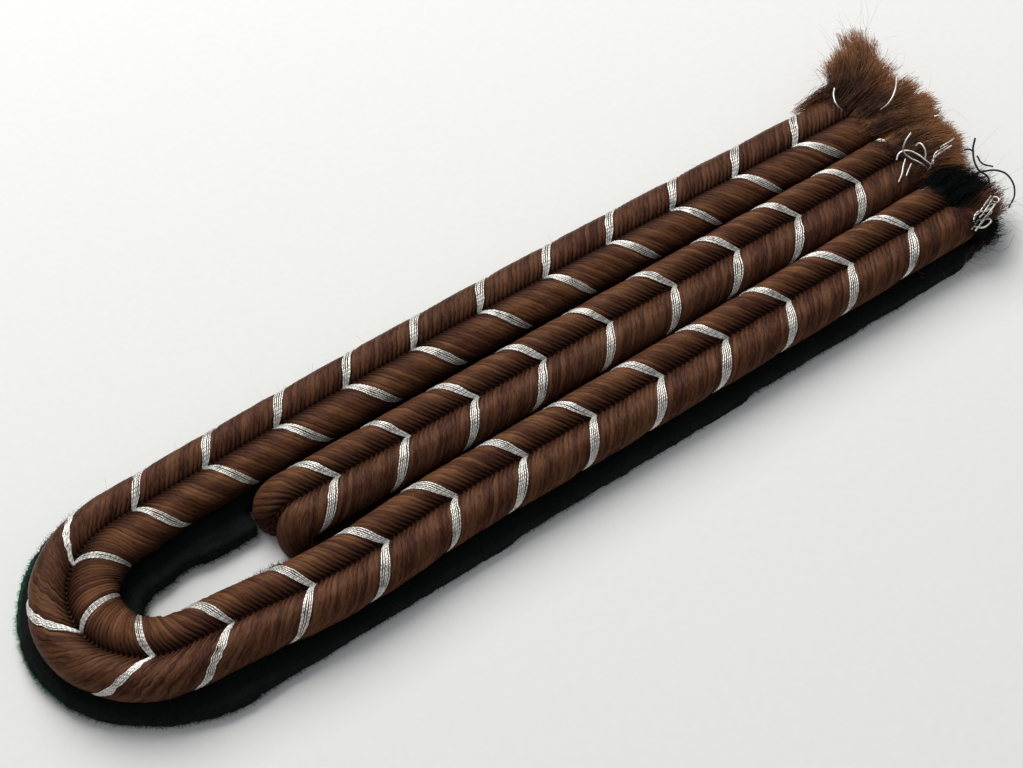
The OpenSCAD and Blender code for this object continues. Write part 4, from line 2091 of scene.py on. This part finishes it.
@dataclass
class Studio:
    """Pale floor, soft daylight and the camera at the photograph's viewing angle."""

    image_width: int = 1023
    focal_pixels: float = 1900.16
    azimuth: float = -0.4734179
    elevation: float = 0.9091716
    roll: float = -0.1299219
    target: tuple = (1.1663 * MM, 2.6541 * MM, 0.0)
    distance: float = 225.9733 * MM
    sensor_width: float = 36.0
    floor_size: float = 1.6
    floor_dark: Colour = (0.80, 0.80, 0.79)
    floor_light: Colour = (0.84, 0.84, 0.83)
    sky: Colour = (0.95, 0.97, 1.0)
    sky_strength: float = 0.36
    window: tuple = (0.10, 0.46, 0.48)
    window_size: float = 0.48
    window_watts: float = 5.0
    window_colour: Colour = (1.0, 0.99, 0.96)

    def camera(self) -> None:
        """Places the camera."""
        cos_el, sin_el = math.cos(self.elevation), math.sin(self.elevation)
        cos_az, sin_az = math.cos(self.azimuth), math.sin(self.azimuth)
        back = Vector((sin_az * cos_el, -cos_az * cos_el, sin_el))
        level = Vector((cos_az, sin_az, 0))
        upright = back.cross(level)
        right = math.cos(self.roll) * level + math.sin(self.roll) * upright
        up = math.cos(self.roll) * upright - math.sin(self.roll) * level
        bpy.ops.object.camera_add()
        camera = bpy.context.object
        turn = Matrix((right, up, back)).transposed().to_4x4()
        camera.matrix_world = Matrix.Translation(
            Vector(self.target) + back * self.distance) @ turn
        camera.data.sensor_width = self.sensor_width
        camera.data.lens = self.focal_pixels * self.sensor_width / self.image_width
        camera.data.clip_start = 0.01
        bpy.context.scene.camera = camera

    def floor(self) -> None:
        """Lays the pale floor."""
        bpy.ops.mesh.primitive_plane_add(size=self.floor_size)
        floor = bpy.context.object
        floor.name = "floor"
        material, graph = new_material("Pale card")
        grain = graph.noise(graph.object_place(), 900.0, 4.0)
        colour = graph.mix(grain, self.floor_dark, self.floor_light)
        graph.surface({"Base Color": colour, "Roughness": 0.9, "Specular IOR Level": 0.1})
        floor.data.materials.append(material)

    def light(self) -> None:
        """Sets up the daylight: a pale sky, and a soft window behind the board."""
        world = bpy.data.worlds.new("Daylight")
        world.use_nodes = True
        bpy.context.scene.world = world
        sky = world.node_tree.nodes["Background"]
        sky.inputs["Color"].default_value = rgba(self.sky)
        sky.inputs["Strength"].default_value = self.sky_strength
        bpy.ops.object.light_add(type="AREA", location=self.window)
        lamp = bpy.context.object
        lamp.name = "window"
        lamp.data.size = self.window_size
        lamp.data.energy = self.window_watts
        lamp.data.color = self.window_colour
        lamp.rotation_euler = Vector(self.window).to_track_quat("Z", "Y").to_euler()
        bpy.context.scene.view_settings.view_transform = "Standard"

    def build(self) -> None:
        """Sets up the whole studio."""
        self.floor()
        self.light()
        self.camera()


def main() -> None:
    """Builds the studio and dresses the board, one sub-assembly after the other."""
    logging.basicConfig(level=logging.INFO, format="%(message)s")
    Studio().build()
    # The left and right ribs take a lit and a dimmer painted copy of one silk
    silks = {RibSide.LEFT: WoundSilk().material(), RibSide.RIGHT: LESS_LIT_SILK.material()}
    silver, frayed = SilverThread().material(), FrayedSilk().material()
    Backing().build(WoolFelt().material(), LOOSE_WOOL.material())
    OuterCord().build(silks, silver)
    MiddleCord().build(silks, silver)
    lane = BOARD.lane_pitch / MM
    for tuft, material in (
        (Tuft("first_leg_fray", "frayed_silk", "first_leg_tuft", lane, FIRST_LEG_LOCKS, 21),
         frayed),
        (Tuft("middle_fray", "frayed_silk", "middle_tuft", 0.0, MIDDLE_LOCKS, 22), frayed),
        (Tuft("second_leg_fray", "frayed_silk", "second_leg_tuft", -lane, SECOND_LEG_LOCKS, 23,
              head_width=1.6, head_height=2.2, ribs=(-2.4,)), DARK_FRAY.material()),
        (Tuft("core_wool_fray", "core_wool", "core_wool", -lane, WOOL_LOCKS, 24, ribs=(2.4,),
              curl=0.6), CORE_WOOL.material()),
    ):
        tuft.build(material)
    LooseThreads().build(silver, SewingThread().material())
    StrayFibres().build(frayed)


if __name__ == "__main__":
    main()
